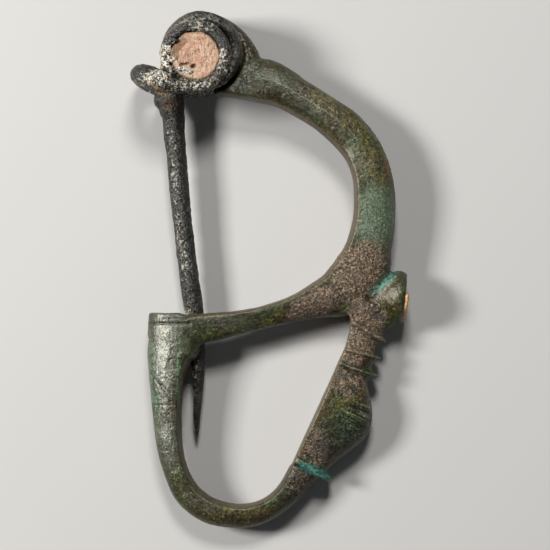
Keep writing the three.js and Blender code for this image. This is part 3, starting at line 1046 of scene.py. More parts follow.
@dataclass
class Casting:
    """The bow, the foot with its catch, the returned foot with its mouldings, and the knob."""

    bow: Run = Run(
            (
            (-7.6, 24.7, 4.6, 2, 0), (-5.1, 24.6, 5, 2.2, 0), (-1.3, 24.2, 5.6, 2.45, 0),
            (0.65, 23.5, 5.1, 2.5, 0), (2.55, 22.4, 4.65, 2.5, 0), (5.7, 20.5, 4.5, 2.5, 0),
            (8.8, 18.15, 4.9, 2.6, 0), (10.95, 15.5, 4.85, 2.7, 0), (12.05, 12.75, 4.95, 2.8, 0),
            (12.45, 9.75, 5.2, 2.85, 0), (12.35, 6.7, 5.3, 2.85, 0), (11.75, 3.65, 5.65, 2.85, 0),
            (10.85, 0.65, 6.9, 2.85, 0), (8.3, -2, 6.3, 2.8, 0), (5.05, -3.3, 4.4, 2.5, 0),
            (2.35, -4.25, 3.3, 2.1, 0.2), (-1.9, -5.4, 2.9, 1.65, 0.6),
            (-5.2, -6.05, 3.1, 1.4, 0.95), (-8, -6.55, 3.7, 1.35, 1.05),
            (-10.8, -6.9, 4, 1.35, 1.05),
        ),
        1,
        0.45,
    )
    foot: Run = Run(
            (
            (-12.2, -4.75, 6.4, 3, -0.85), (-12.4, -5.4, 6.85, 3.15, -0.8),
            (-12.45, -7.2, 6.9, 3.2, -0.8), (-12.6, -8.6, 6.8, 3.2, -0.8),
            (-13.05, -9.7, 6, 3.2, -0.8), (-13.45, -12.1, 4.8, 3.15, -0.8),
            (-13.5, -14.8, 4.1, 3, -0.7), (-13.45, -18, 3.6, 2.6, -0.4),
            (-13.15, -21.4, 3.25, 2.2, -0.1), (-12.35, -24.55, 3.1, 2, 0),
            (-10.9, -27.35, 3.3, 1.95, 0), (-8.4, -29.3, 3.3, 1.95, 0), (-5, -30.1, 3.05, 1.95, 0),
            (-2.1, -29.75, 2.95, 1.95, 0), (0.3, -28.45, 2.85, 1.95, 0), (2, -26.8, 3.15, 2, 0),
            (3.4, -24.8, 3.7, 2.1, 0),
        ),
        -1,
        0.75,
    )
    horn: Run = Run(
            (
            (-3.9, 24.4, 4.2, 2, 0), (-3.4, 26.6, 3.4, 1.9, 0), (-4.3, 29.2, 2.3, 1.55, 0),
            (-6.1, 31.25, 1.4, 1.2, 0), (-8.4, 32.3, 0.9, 1, 0), (-10.9, 32.15, 0.75, 0.9, 0),
            (-13, 30.6, 0.5, 0.7, 0),
        ),
        -1,
        0.2,
        6,
    )
    return_start: Point = (1.88, -24.12)
    return_along: Point = (0.41451, 0.91005)
    # Distance along the inner edge, reach outwards, reach inwards, and turn in degrees.
    return_profile: tuple[Point, ...] = (
        (-1.5, 3.3, 0, 0), (-0.3, 3.6, 0, -2), (0.75, 3.85, 0, -5), (0.98, 4.1, 0, -6.6),
        (1.04, 5, 0, -6.6), (1.12, 5.3, 0, -6.6), (1.68, 5.3, 0, -6.6), (1.78, 5, 0, -6.6),
        (1.84, 4.5, 0, -6), (2.1, 4.45, 0, -5), (2.8, 4.75, 0, -2), (3.7, 5.25, 0, 0),
        (5.4, 6.2, 0, 0), (7.2, 6.95, 0, 0), (8.7, 7.05, 0, 0), (10.2, 6.7, 0, 0),
        (11.6, 5.8, 0, 1), (12.6, 4.95, 0, 3), (13.3, 4.4, 0, 4.5), (13.9, 4.35, 0, 5),
        (14.22, 4.75, 0, 5.1), (14.4, 5.4, 0, 5.1), (14.6, 5.4, 0, 5.1), (14.72, 4.7, 0, 5.5),
        (15, 4.2, 0, 6.5), (15.6, 4.1, 0, 8.5), (16.12, 4.35, 0, 9.6), (16.3, 4.8, 0, 9.6),
        (16.48, 4.8, 0, 9.6), (16.6, 4.3, 0, 9), (16.9, 3.7, 0.05, 7), (17.8, 3.5, 0.2, 2),
        (18.9, 3.45, 0.4, -3), (19.45, 3.7, 0.6, -6), (19.66, 4.45, 0.7, -6),
        (19.9, 4.45, 0.8, -6), (20.08, 3.8, 0.9, -6), (20.5, 3.6, 1.6, -4), (21, 4.1, 2.4, 0),
        (21.9, 4.5, 2.6, 0), (23, 4.2, 2.6, 0),
    )
    # Place, radius and slope of the knob's axis.
    knob: tuple[Point, ...] = (
        (10.8, -3.6, 0.35, 0.19), (12.1, -3.35, 1.25, 0.19), (13.6, -3.1, 2.3, 0.17),
        (14.7, -2.85, 3.05, 0.12), (15.3, -2.78, 3.28, 0.05), (15.8, -2.8, 3.25, -0.03),
        (16.2, -2.88, 3, -0.1),
    )
    coil_centre: Point = (-9.13, 27.7)
    end_turn_centre: Point = (-9.82, 27.02)
    coil_room: float = 5.38
    lug_radius: float = 4.6
    lug_half_depth: float = 1.0
    bar_radius: float = 2.2
    bar_half_length: float = 3.15
    socket_radius: float = 2.75
    socket_depth: float = 1.2
    gutter: tuple[Point, ...] = (
        (-13.9, -4), (-13.9, -8), (-13.2, -14), (-11.2, -19.2), (-7.5, -19.2), (-7.5, -4),
    )
    gutter_back: float = -3.3
    gutter_front: float = -0.2
    lip_trim: tuple[Point, ...] = (
        (-10.1, -4), (-10.6, -8), (-12.1, -13), (-11.6, -19), (-7.5, -19), (-7.5, -4),
    )
    mouth_trim: tuple[Point, ...] = ((-18, -4.75), (-9.2, -4.75), (-9.2, 0), (-18, 0))
    grain: float = 0.135
    faces_kept: int = 188000
    beyond: float = 7.0
    earth: tuple[Patch, ...] = (
        Patch(10.6, 0.4, 6, 4.6, 60, 0.95), Patch(5.5, -3.5, 6.5, 2.6, 25, 0.85),
        Patch(10.6, -7.2, 6.5, 4.2, 66, 0.9), Patch(9.2, -13.2, 3.4, 3.6, 66, 0.62),
        Patch(5.2, -21.6, 3.8, 3, 66, 0.66), Patch(2.9, -26, 3.2, 3, 50, 0.5),
        Patch(-2.4, 24.6, 3.4, 3.6, 0, 0.30),
    )
    # Rubbed places, where a pale painted highlight is also laid: down the catch and the foot, along
    # the bow, and on the arm, the bend and the returned foot's belly.
    polished_and_highlight: tuple[Patch, ...] = (
        Patch(-13.9, -9.5, 9, 2.6, 88, 1), Patch(-13.5, -19.5, 6.5, 1.9, 97, 0.75),
        Patch(4.3, 22, 7.5, 2.3, -33, 0.55), Patch(-9, -28.6, 3.6, 1.3, -25, 0.35),
        Patch(-6.5, -5.9, 6.5, 1.3, -8, 0.30), Patch(11.4, -17, 2.6, 1.4, 66, 0.45),
    )
    pale: tuple[Patch, ...] = (
        Patch(12.6, 7.2, 6.4, 4.2, 86, 0.95), Patch(12, 14, 6, 2.6, -60, 0.25),
        Patch(14, -0.9, 2.6, 0.9, 30, 0.35),
    )
    verdigris: tuple[Patch, ...] = (
        Patch(-15.3, -13, 9, 1.1, 94, 0.8), Patch(13.6, -0.9, 3.4, 0.9, 42, 0.9),
        Patch(13.5, -8.6, 1.6, 0.9, -30, 0.8), Patch(13, -10.6, 1.6, 0.9, -20, 0.8),
        Patch(12.6, -12.8, 1.6, 0.9, -20, 0.8), Patch(9.3, -18.4, 3.8, 2.6, 66, 0.30),
        Patch(-11.9, -12, 6, 0.5, 90, 0.9), Patch(-2.6, 29.2, 1, 0.8, 0, 0.8),
        Patch(12.3, 18, 5, 1.2, -50, 0.35),
    )
    stained: tuple[Patch, ...] = (
        Patch(14.1, 13.3, 2.8, 0.9, 100, 0.8), Patch(-3, 28.1, 0.5, 0.4, 0, 0.9),
        Patch(-11.2, -17.6, 0.22, 0.25, 0, 1),
    )
    golden: tuple[Patch, ...] = (
        Patch(7.5, 20.8, 8, 2, -38, 1), Patch(12.6, 14.6, 5.2, 3, -72, 0.8),
        Patch(2.5, -5, 6.5, 1.6, 18, 0.7), Patch(-4.5, -30.3, 6, 2.2, 0, 0.8),
        Patch(9.8, -15, 3, 3, 66, 0.8), Patch(13.9, -3.2, 2.6, 2, 60, 0.6),
        Patch(-16, -8, 5, 1, 92, 0.3),
    )
    # Dark earth; several of these patches also paint shade: the crease under the knob, the arm, the
    # lower part of the returned foot and the bottom of the bend.
    umber_and_shade: tuple[Patch, ...] = (
        Patch(4.6, -4.6, 7, 2, 22, 0.7), Patch(7.6, -21, 4.4, 4, 66, 0.95),
        Patch(9.6, -18.6, 3.6, 2.8, 66, 0.45), Patch(12.6, -5, 2.6, 0.7, -22, 0.9),
        Patch(6.2, 16.8, 5.5, 0.9, -42, 0.5), Patch(3, -26.4, 4, 3.6, 50, 0.9),
        Patch(-4, -30.8, 7, 1.8, 0, 0.8), Patch(-14.2, -24.5, 4.5, 1.4, 105, 0.5),
        Patch(-1, 23, 5, 1.6, -10, 0.6),
    )
    bow_arris: tuple[Patch, ...] = (Patch(5.2, 21.0, 10.5, 7.0, -36, 1.0),)
    # Where the bow's faces meet, from the inner edge outwards, and how far each is moved.
    facets: tuple[Point, ...] = (
        (-1.0, -1.5), (-0.74, -0.85), (-0.5, -0.30), (0.08, 0.24), (0.3, 0.08), (0.6, 0.0),
    )
    knob_arris: tuple[Point, ...] = ((12.2, -2.6, 15.0, 0.0),)
    # The mouldings of the returned foot: less roughened, with stronger painted shade under their
    # lips and paler lips.
    collars: tuple[Patch, ...] = (
        Patch(10.9, -10, 5.2, 4.4, 66, 1), Patch(4.6, -24.2, 1.9, 3.6, 66, 1),
    )
    blue_green: tuple[Patch, ...] = (
        Patch(5, -24.4, 3.1, 0.85, -26, 1), Patch(13.4, -0.95, 3.2, 0.75, 42, 0.45),
    )
    brushed: tuple[Patch, ...] = (Patch(10.2, -17.6, 3.4, 3.4, 66, 0.9),)
    minerals: tuple[Patch, ...] = (
        Patch(-4.2, 28.4, 4.2, 2, -52, 1), Patch(-2.6, 25.6, 1.8, 1.6, 0, 0.5),
        Patch(10.5, -0.5, 5, 4, 60, 0.18),
    )
    # Engraved lines on the catch: two ends, half width and depth.
    engraved: tuple[Point, ...] = (
        (-14, -5.34, -10.2, -5.34, 0.10, 0.07), (-15.75, -6.02, -10.5, -6.02, 0.13, 0.13),
        (-9.75, -5.75, -9.1, -6.9, 0.09, 0.08), (-15.4, -12.35, -12.95, -15.75, 0.10, 0.10),
        (-14.7, -13.2, -12.95, -14.7, 0.09, 0.08), (-15.4, -16.15, -12.3, -16.15, 0.09, 0.08),
    )

    # Where the forms run into one another and are eased most.
    junctions: tuple[Patch, ...] = (
        Patch(11, -1.2, 4.2, 3, 50), Patch(7.2, -5.5, 2.6, 2.4, 40),
        Patch(3, -25.4, 2.4, 2.2, 50, 0.8), Patch(-2.6, 26.2, 2.6, 2.6, 0, 0.8),
    )
    catch_root: tuple[Patch, ...] = (Patch(-8.7, -7.3, 3.4, 2.3, 15, 1.0),)

    def return_rings(self) -> list[Ring]:
        """The rings of the returned foot, all turned the same way."""
        along = Vector((*self.return_along, 0))
        out = Vector((self.return_along[1], -self.return_along[0], 0))
        start = Vector((*self.return_start, 0))
        rows = eased(list(self.return_profile), 5)
        rings = []
        for distance, reach, back, tilt in rows:
            way = Matrix.Rotation(math.radians(tilt), 3, "Z") @ out
            edge = start + along * distance - way * back
            depth = min(reach, 6) * 0.5
            rings.append(Ring(edge, math.atan2(way.y, way.x), reach + back, depth))
        return rings

    def knob_rings(self) -> list[Ring]:
        """The rings of the knob, square to its slightly curved axis."""
        rows = eased(list(self.knob), 5)
        return [
            Ring(Vector((x, y, 0)), math.atan(slope) - math.pi / 2, radius, radius)
            for x, y, radius, slope in rows
        ]

    def mouth(self) -> tuple[Vector, Vector]:
        """The middle of the knob's mouth and the way that it faces."""
        x, y, _, slope = self.knob[-1]
        return Vector((x, y, 0)), Vector((1, slope, 0)).normalized()

    def solid(self) -> Body:
        """Joins the forms and makes the cuts."""
        body = self.bow.model("bow_and_foot_patina")
        returned = Bench.sweep("returned_foot", d_section(0.03), self.return_rings())
        knob = Bench.sweep("knob", round_section(), self.knob_rings())
        for part in (self.foot.model("foot"), returned, knob, self.horn.model("horn")):
            Bench.merge(body, part, Join.ADD)
        centre = Vector((*self.coil_centre, 0))
        up = Vector((0, 0, 1))
        for side in (1, -1):
            near = centre + up * side * (self.lug_half_depth + 0.15)
            room = Bench.rod("coil_room", near, centre + up * side * self.beyond, self.coil_room)
            Bench.merge(body, room, Join.CUT)
        half = up * self.lug_half_depth
        lug = Bench.rod("lug", centre - half, centre + half, self.lug_radius)
        Bench.merge(body, lug, Join.ADD)
        end = Vector((*self.end_turn_centre, 0))
        half = up * self.bar_half_length
        bar = Bench.rod("bar", end - half, end + half, self.bar_radius)
        Bench.merge(body, bar, Join.ADD)
        gutter = Bench.prism("gutter", list(self.gutter), self.gutter_back, self.gutter_front)
        behind = Bench.prism("behind_pin", list(self.lip_trim), -self.beyond, self.gutter_front)
        mouth = Bench.prism("mouth_trim", list(self.mouth_trim), -self.beyond, self.beyond)
        place, out = self.mouth()
        deep = place - out * self.socket_depth
        socket = Bench.rod("socket", deep, place + out * 2, self.socket_radius)
        for cut in (gutter, behind, mouth, socket):
            Bench.merge(body, cut, Join.CUT)
        return body

    def centre_run(self) -> np.ndarray:
        """The run of the metal from the head to the knob: place, outward way, size and distance."""
        rows, walked = [], 0.0
        last = None
        foot = self.foot.rings()
        for rings in (self.bow.rings(), foot, self.return_rings(), self.horn.rings()):
            for ring in rings:
                out = np.array([math.cos(ring.angle), math.sin(ring.angle)])
                middle = np.array([ring.place.x, ring.place.y]) + out * ring.across / 2
                if last is not None:
                    walked += float(np.linalg.norm(middle - last))
                last = middle
                rows.append([*middle, *out, ring.across, walked])
        return np.array(rows)

    def lay(self, points: np.ndarray) -> np.ndarray:
        """How far along the metal each point is, and where it is across it.

        Args:
            points: The places.

        Returns:
            Distance along in millimetres, side from -1 inside to 1 outside, and depth.
        """
        run = self.centre_run()
        out = np.empty((len(points), 3))
        for start in range(0, len(points), 20000):
            some = points[start : start + 20000]
            gap = some[:, None, :2] - run[None, :, :2]
            best = np.argmin((gap**2).sum(2), axis=1)
            chosen = run[best]
            offset = some[:, :2] - chosen[:, :2]
            across = (offset * chosen[:, 2:4]).sum(1)
            forward = offset[:, 0] * chosen[:, 3] - offset[:, 1] * chosen[:, 2]
            out[start : start + 20000] = np.stack(
                [chosen[:, 5] - forward, across / (chosen[:, 4] / 2), some[:, 2]], axis=1
            )
        return out

    def engraving(self, points: np.ndarray, facing: np.ndarray) -> tuple[np.ndarray, np.ndarray]:
        """Where the engraved lines run on the near side, and how deep they are."""
        mark, depth = np.zeros(len(points)), np.zeros(len(points))
        for ax, ay, bx, by, half, cut in self.engraved:
            a, b = np.array([ax, ay]), np.array([bx, by])
            along = b - a
            share = np.clip(((points[:, :2] - a) @ along) / (along @ along), 0, 1)
            gap = np.linalg.norm(points[:, :2] - a - share[:, None] * along, axis=1)
            line = np.exp(-((gap / half) ** 2)) * smoothstep(facing[:, 2], 0.0, 0.35)
            mark, depth = np.maximum(mark, line), np.maximum(depth, line * cut)
        return mark, depth

    def raise_arris(self, body: Body) -> None:
        """Draws up the soft arrises that part the bow's two faces and the knob's."""
        points, facing = Bench.points(body), Bench.normals(body)
        side = self.lay(points)[:, 1]
        near = smoothstep(facing[:, 2], 0.1, 0.6)
        facets = np.interp(side, *zip(*self.facets)) * covered(points, self.bow_arris)
        points[:, 2] *= np.where(points[:, 2] > 0, 1 + facets / 2.4, 1.0)
        height = np.zeros(len(points))
        for ax, ay, bx, by in self.knob_arris:
            a, along = np.array([ax, ay]), np.array([bx - ax, by - ay])
            share = np.clip(((points[:, :2] - a) @ along) / (along @ along), 0, 1)
            gap = np.linalg.norm(points[:, :2] - a - share[:, None] * along, axis=1)
            height += 0.30 * np.exp(-((gap / 0.30) ** 2)) * near
        self.sink(body, points + facing * height[:, None])

    def weather(self, body: Body) -> None:
        """Eases the junctions and roughens the skin where the earth has eaten into it."""
        points = Bench.points(body)
        junction = covered(points, self.junctions)
        Bench.smooth(body, 3, 0.5)
        Bench.smooth(body, 34, 0.5, Bench.group(body, "junction", junction))
        root = covered(points, self.catch_root)
        Bench.smooth(body, 170, 0.5, Bench.group(body, "catch_root", root))
        self.raise_arris(body)
        points = Bench.points(body)
        crust = covered(points, self.earth)
        head = covered(points, self.minerals)
        collars = covered(points, self.collars)
        rough = Bench.group(body, "rough", np.maximum(crust, head) ** 1.3 * (1 - 0.6 * collars))
        Bench.roughen(body, Relief.lumps("swell", 3.4), 0.10)
        Bench.roughen(body, Relief.lumps("uneven", 1.1), 0.05)
        Bench.roughen(body, Relief.lumps("crust_lumps", 1.3, 2), 0.14, rough)
        Bench.roughen(body, Relief.lumps("crust_grit", 0.42, 1), 0.13, rough)
        Bench.roughen(body, Relief.pits("crust_pits", 0.6, 0.3), 0.12, rough, 1.0)
        Bench.roughen(body, Relief.pits("pits", 2.6, 0.10), 0.08, "", 1.0)
        points, facing = Bench.points(body), Bench.normals(body)
        _, depth = self.engraving(points, facing)
        self.sink(body, points - facing * depth[:, None])

    @staticmethod
    def sink(body: Body, places: np.ndarray) -> None:
        """Moves the vertices to new places."""
        body.data.vertices.foreach_set("co", places.astype(np.float32).ravel())
        body.data.update()

    def finish_and_light_marks(self, body: Body) -> None:
        """Stores what the finish reads at each vertex, painted shade and highlight masks among it.
        """
        points, facing = Bench.points(body), Bench.normals(body)
        lay = self.lay(points)
        mark, _ = self.engraving(points, facing)
        Bench.attribute(body, "lay", lay)
        none = np.zeros(len(points))
        Bench.marks(body, "finish_and_light_a", points, self.earth, self.polished_and_highlight, self.verdigris)
        Bench.marks(body, "finish_b", points, self.stained, self.pale, self.blue_green)
        Bench.marks(body, "finish_and_light_c", points, standing(body), mark, self.minerals)
        Bench.marks(body, "finish_and_light_d", points, self.golden, self.umber_and_shade, self.collars)
        Bench.marks(body, "finish_e", points, self.brushed, none, none)

    def build(self, pose: LaidPose) -> Body:
        """Models, weathers and dresses the casting."""
        body = self.solid()
        Bench.remesh(body, self.grain)
        self.weather(body)
        Bench.thin(body, self.faces_kept)
        self.finish_and_light_marks(body)
        Bench.dress(body, pose, CastPatina().material(pose))
        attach(body, "root")
        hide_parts("bow_and_foot")
        return body


def standing(obj: Body, rounds: int = 14) -> np.ndarray:
    """How far each vertex stands out from the skin round it, in millimetres.

    Args:
        obj: The object.
        rounds: How many rings of neighbours are averaged.

    Returns:
        Plus on a ridge and minus in a hollow.
    """
    points, facing = Bench.points(obj), Bench.normals(obj)
    edges = np.empty(len(obj.data.edges) * 2, np.int32)
    obj.data.edges.foreach_get("vertices", edges)
    a, b = edges.reshape(-1, 2).T
    count = np.bincount(a, minlength=len(points)) + np.bincount(b, minlength=len(points))
    soft = points.copy()
    for _ in range(rounds):
        total = np.stack(
            [
                np.bincount(a, soft[b, k], len(points)) + np.bincount(b, soft[a, k], len(points))
                for k in range(3)
            ],
            axis=1,
        )
        soft = 0.5 * soft + 0.5 * total / np.maximum(count, 1)[:, None]
    return ((points - soft) * facing).sum(1)


@dataclass
class SpringAndPin:
    """The coil, the chord that joins its halves on the outside, and the pin."""

    coil_centre: Point = (-9.13, 27.7)
    coil_radius: float = 4.25
    end_turn_centre: Point = (-9.82, 27.02)
    end_turn_radius: float = 3.7
    wire_radius: float = 0.81
    end_turn_z: float = 4.85
    pitch: float = 1.74
    first_turn: float = -0.34
    near_turns: float = 1.55
    far_turns: float = 1.47
    arm: tuple[Point, ...] = (
        (-10.6, 23.35, 4.85, 0.83), (-12.3, 23.4, 4.85, 1.05), (-14.1, 23.9, 4.7, 1.45),
        (-15.7, 24.5, 4, 1.45), (-16.6, 24.85, 2.6, 1.3),
    )
    chord_middle: Point = (-16.75, 24.9, 0, 1.2)
    pin: tuple[Point, ...] = (
        (-13.6, 24.4, -2.35, 1.2), (-13.34, 22.25, -2.35, 1.92), (-13.1, 21.4, -2.35, 1.72),
        (-12.95, 20.6, -2.3, 1.56), (-12.78, 19.9, -2.3, 1.42), (-12.7, 18.1, -2.25, 1.35),
        (-12.45, 15.6, -2.2, 1.28), (-11.9, 9.4, -2, 1.25), (-11.5, 5.6, -1.9, 1.17),
        (-11.05, 1.9, -1.8, 1.22), (-10.25, -4.4, -1.75, 1.22), (-9.82, -9.4, -1.75, 1),
        (-9.66, -12.5, -1.75, 0.8), (-9.72, -15.6, -1.75, 0.6), (-9.83, -18.1, -1.75, 0.46),
        (-9.8, -19.4, -1.75, 0.3), (-9.8, -20.45, -1.75, 0.08),
    )
    # Corrosion that has crept over the edge of the coral: place and size.
    crust_lumps: tuple[Point, ...] = (
        (-11.55, 25.3, 5.05, 0.62), (-10.7, 25.05, 5.1, 0.55), (-12.5, 28.9, 5.1, 0.5),
        (-12.6, 26.6, 5.15, 0.42),
    )
    grain: float = 0.11
    faces_kept: int = 180000
    rusty: tuple[Patch, ...] = (
        Patch(-13.2, 21.4, 1.9, 1, 15, 1), Patch(-14.8, 23.2, 2.6, 0.6, -28, 0.55),
        Patch(-7.3, 24, 2, 1, 0, 0.5), Patch(-10.75, 8.3, 0.6, 0.4, 0, 0.9),
    )
    # Pale mineral crust. Along the pin it lies on the left half, which makes that half lighter as
    # the light from the left does: partly real flecks, partly painted light.
    pale: tuple[Patch, ...] = (
        Patch(-14.6, 24.3, 3.6, 1.7, 15, 0.9), Patch(-13.3, 26.8, 1.8, 3.4, 0, 1),
        Patch(-9.5, 23.4, 5.5, 1.8, 5, 0.75), Patch(-6.3, 26.5, 1.6, 3.4, 0, 0.7),
        Patch(-9.5, 31, 4.5, 1.6, 0, 0.55), Patch(-12.75, 13.5, 9.5, 0.8, 95, 0.5),
        Patch(-11.75, 4, 9, 0.8, 97, 0.5), Patch(-10.4, -13.5, 6, 0.8, 88, 0.5),
        Patch(-11.2, -4.5, 1.2, 0.6, 0, 0.9), Patch(-11.2, 25.2, 1.9, 1.1, 0, 1),
    )
    # Smooth turns: less corroded, with a painted highlight laid along them.
    smooth_turns: tuple[Patch, ...] = (
        Patch(-12.6, 30.6, 3.6, 1, 45, 1), Patch(-4.9, 28, 3.4, 0.8, 80, 0.45),
    )

    ochre: tuple[Patch, ...] = (Patch(-14.4, 22.95, 1.9, 0.45, -30, 0.9),)
    sound_root: tuple[Patch, ...] = (Patch(-13.2, 21.5, 2.6, 1.8, 0, 0.6),)

    def half(self, side: int, last_turn: float) -> list[Point]:
        """One half of the coil, from the end turn to the turn by the lug.

        Args:
            side: 1 for the near half and -1 for the far one.
            last_turn: How many turns it has.

        Returns:
            The wire's places and radii.
        """
        steps = int((last_turn - self.first_turn) * 48)
        out = []
        for turns in np.linspace(self.first_turn, last_turn, steps):
            inwards = float(smoothstep(np.array(turns), 0.35, 1.0))
            radius = self.end_turn_radius + (self.coil_radius - self.end_turn_radius) * inwards
            cx, cy = (
                a + (b - a) * inwards for a, b in zip(self.end_turn_centre, self.coil_centre)
            )
            angle = 2 * math.pi * turns
            depth = side * (self.end_turn_z - self.pitch * max(turns, 0.0))
            x, y = cx + radius * math.cos(angle), cy + radius * math.sin(angle)
            out.append((x, y, depth, self.wire_radius))
        return out

    def chord(self) -> list[Point]:
        """The chord with an arm at each end."""
        far = [(x, y, -z, r) for x, y, z, r in reversed(self.arm)]
        rows = eased([*self.arm, self.chord_middle, *far], 8)
        return [tuple(row) for row in rows]

    def pin_run(self) -> list[Point]:
        """The pin, from inside the far half of the coil to its point."""
        start = self.half(-1, self.far_turns)[-4]
        rows = eased([start, *self.pin], 8)
        return [tuple(row) for row in rows]

    def lay(self, points: np.ndarray) -> np.ndarray:
        """How far along the wire each point is, and its offset from the middle."""
        near, far = self.half(1, self.near_turns), self.half(-1, self.far_turns)
        runs = [near, self.chord(), far, self.pin_run()]
        rows, walked, last = [], 0.0, None
        for run in runs:
            for x, y, z, _ in run:
                here = np.array([x, y, z])
                walked += 0.0 if last is None else float(np.linalg.norm(here - last))
                last = here
                rows.append([x, y, z, walked])
        table = np.array(rows)
        out = np.empty((len(points), 3))
        for start in range(0, len(points), 20000):
            some = points[start : start + 20000]
            gap = some[:, None, :] - table[None, :, :3]
            best = np.argmin((gap**2).sum(2), axis=1)
            offset = some - table[best, :3]
            out[start : start + 20000] = np.stack(
                [table[best, 3], offset[:, 0] + offset[:, 1], offset[:, 2]], axis=1
            )
        return out

    def solid(self) -> Body:
        """Joins the two halves, the chord and the pin."""
        body = Bench.wire("spring_and_pin_wire", self.half(1, self.near_turns))
        for name, run in (
            ("chord", self.chord()),
            ("far_half", self.half(-1, self.far_turns)),
            ("pin", self.pin_run()),
        ):
            Bench.merge(body, Bench.wire(name, run), Join.ADD)
        for x, y, z, size in self.crust_lumps:
            Bench.merge(body, Bench.pebble((x, y, z), size, (1.5, 0.8, 0.7)), Join.ADD)
        return body

    def weather(self, body: Body) -> None:
        """Corrodes the wire, least where it is still smooth."""
        Bench.smooth(body, 2, 0.5)
        points = Bench.points(body)
        sound = covered(points, self.smooth_turns)
        tip = smoothstep(-points[:, 1], 14.0, 20.0)
        tip = np.maximum(tip, covered(points, self.sound_root))
        rough = Bench.group(body, "rough", (1 - 0.85 * sound) * (1 - 0.8 * tip))
        worst = Bench.group(body, "worst", covered(points, self.pale) * (1 - 0.8 * tip))
        Bench.roughen(body, Relief.lumps("wire_swell", 1.8), 0.20, rough)
        Bench.roughen(body, Relief.lumps("wire_lumps", 0.55, 3), 0.16, rough)
        Bench.roughen(body, Relief.lumps("wire_crust", 0.9, 3, True), 0.36, worst)
        Bench.roughen(body, Relief.pits("wire_pits", 1.1, 0.22), 0.22, rough, 1.0)
        Bench.roughen(body, Relief.pits("wire_cavities", 0.6, 0.30), 0.16, worst, 1.0)

    def build(self, pose: LaidPose) -> Body:
        """Models, corrodes and dresses the wire."""
        body = self.solid()
        Bench.remesh(body, self.grain)
        self.weather(body)
        Bench.thin(body, self.faces_kept)
        points = Bench.points(body)
        Bench.attribute(body, "lay", self.lay(points))
        Bench.marks(body, "finish_and_light_a", points, self.rusty, self.pale, self.smooth_turns)
        none = np.zeros(len(points))
        Bench.marks(body, "finish_and_light_c", points, standing(body), self.ochre, none)
        Bench.dress(body, pose, WirePatina().material(pose))
        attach(body, "root")
        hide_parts("spring_and_pin")
        return body


@dataclass
class SpringInlay:
    """A coral disc in one end of the spring."""

    name: str
    node: str
    side: int
    chipped: bool
    centre: Point = (-9.82, 27.02)
    radius: float = 2.98
    back: float = 3.45
    face: float = 5.18
    grain: float = 0.075
    # Salmon, cream and stained.
    colours: tuple[Point, ...] = ((0.40, 0.225, 0.145), (0.50, 0.35, 0.25), (0.16, 0.080, 0.038))
    # Brown at the chipped upper left: partly stain, partly painted shade.
    stain_and_shade: tuple[Patch, ...] = (
        Patch(-11.9, 28.4, 1.6, 1, 50, 0.9), Patch(-12.3, 27, 0.8, 0.7, 0, 0.7),
    )
    holes: tuple[Patch, ...] = (
        Patch(-10.1, 25.75, 0.45, 0.4, 0, 1), Patch(-11, 26, 0.9, 0.22, 0, 0.8),
    )

    def solid(self) -> Body:
        """Turns the disc, softens its rim and breaks out its chips."""
        Bench.clear()
        x, y = self.centre
        depth = self.face - self.back
        bpy.ops.mesh.primitive_cylinder_add(
            vertices=72, radius=self.radius, depth=depth, location=(x, y, self.back + depth / 2)
        )
        disc = bpy.context.object
        disc.name = self.name
        bpy.ops.object.transform_apply(location=True)
        Bench.apply(disc, "BEVEL", width=0.22, segments=4, limit_method="ANGLE", angle_limit=0.8)
        if self.chipped:
            for px, py, pz, size, flat in (
                (-10.05, 25.72, 5.05, 0.36, 1.4),
                (-10.7, 25.9, 5.25, 0.42, 0.9),
                (-11.35, 25.85, 5.2, 0.36, 1.0),
                (-11.9, 28.3, 5.5, 1.15, 0.55),
                (-12.3, 27.2, 5.45, 0.8, 0.6),
                (-9.6, 27.4, 5.38, 0.9, 0.35),
                (-8.9, 26.3, 5.36, 0.6, 0.35),
            ):
                chip = Bench.pebble((px, py, pz), size, (1.25, 0.8, flat))
                Bench.roughen(chip, Relief.lumps("chip", 0.35), 0.25)
                Bench.merge(disc, chip, Join.CUT)
        return disc

    def build(self, pose: LaidPose) -> Body:
        """Models and dresses the disc."""
        disc = self.solid()
        Bench.remesh(disc, self.grain)
        Bench.smooth(disc, 2, 0.5)
        Bench.roughen(disc, Relief.lumps("coral_swell", 1.5), 0.26)
        Bench.roughen(disc, Relief.lumps("coral_fine", 0.45, 3), 0.14)
        Bench.roughen(disc, Relief.pits("coral_pores", 0.75, 0.25), 0.10, "", 1.0)
        points = Bench.points(disc)
        if self.side < 0:
            points[:, 2] *= -1
            Casting.sink(disc, points)
            Bench.face_out(disc)
        x, y = self.centre
        reach = np.hypot(points[:, 0] - x, points[:, 1] - y)
        rim = smoothstep(reach, self.radius - 0.5, self.radius)
        # Painted shade: darker in the holes and where the skin lies below the face, in the chips
        # and down the rim.
        deep = smoothstep(self.face - np.abs(points[:, 2]), 0.25, 0.6)
        stain_and_shade = np.maximum(covered(points, self.stain_and_shade), rim * 0.5)
        recess_shade = np.maximum(covered(points, self.holes), deep * 0.5)
        Bench.marks(disc, "finish_and_light_a", points, stain_and_shade, recess_shade, rim * 0.2)
        Bench.dress(disc, pose, CoralFinish(*self.colours, self.name).material(pose))
        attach(disc, "root")
        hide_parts(self.node)
        return disc


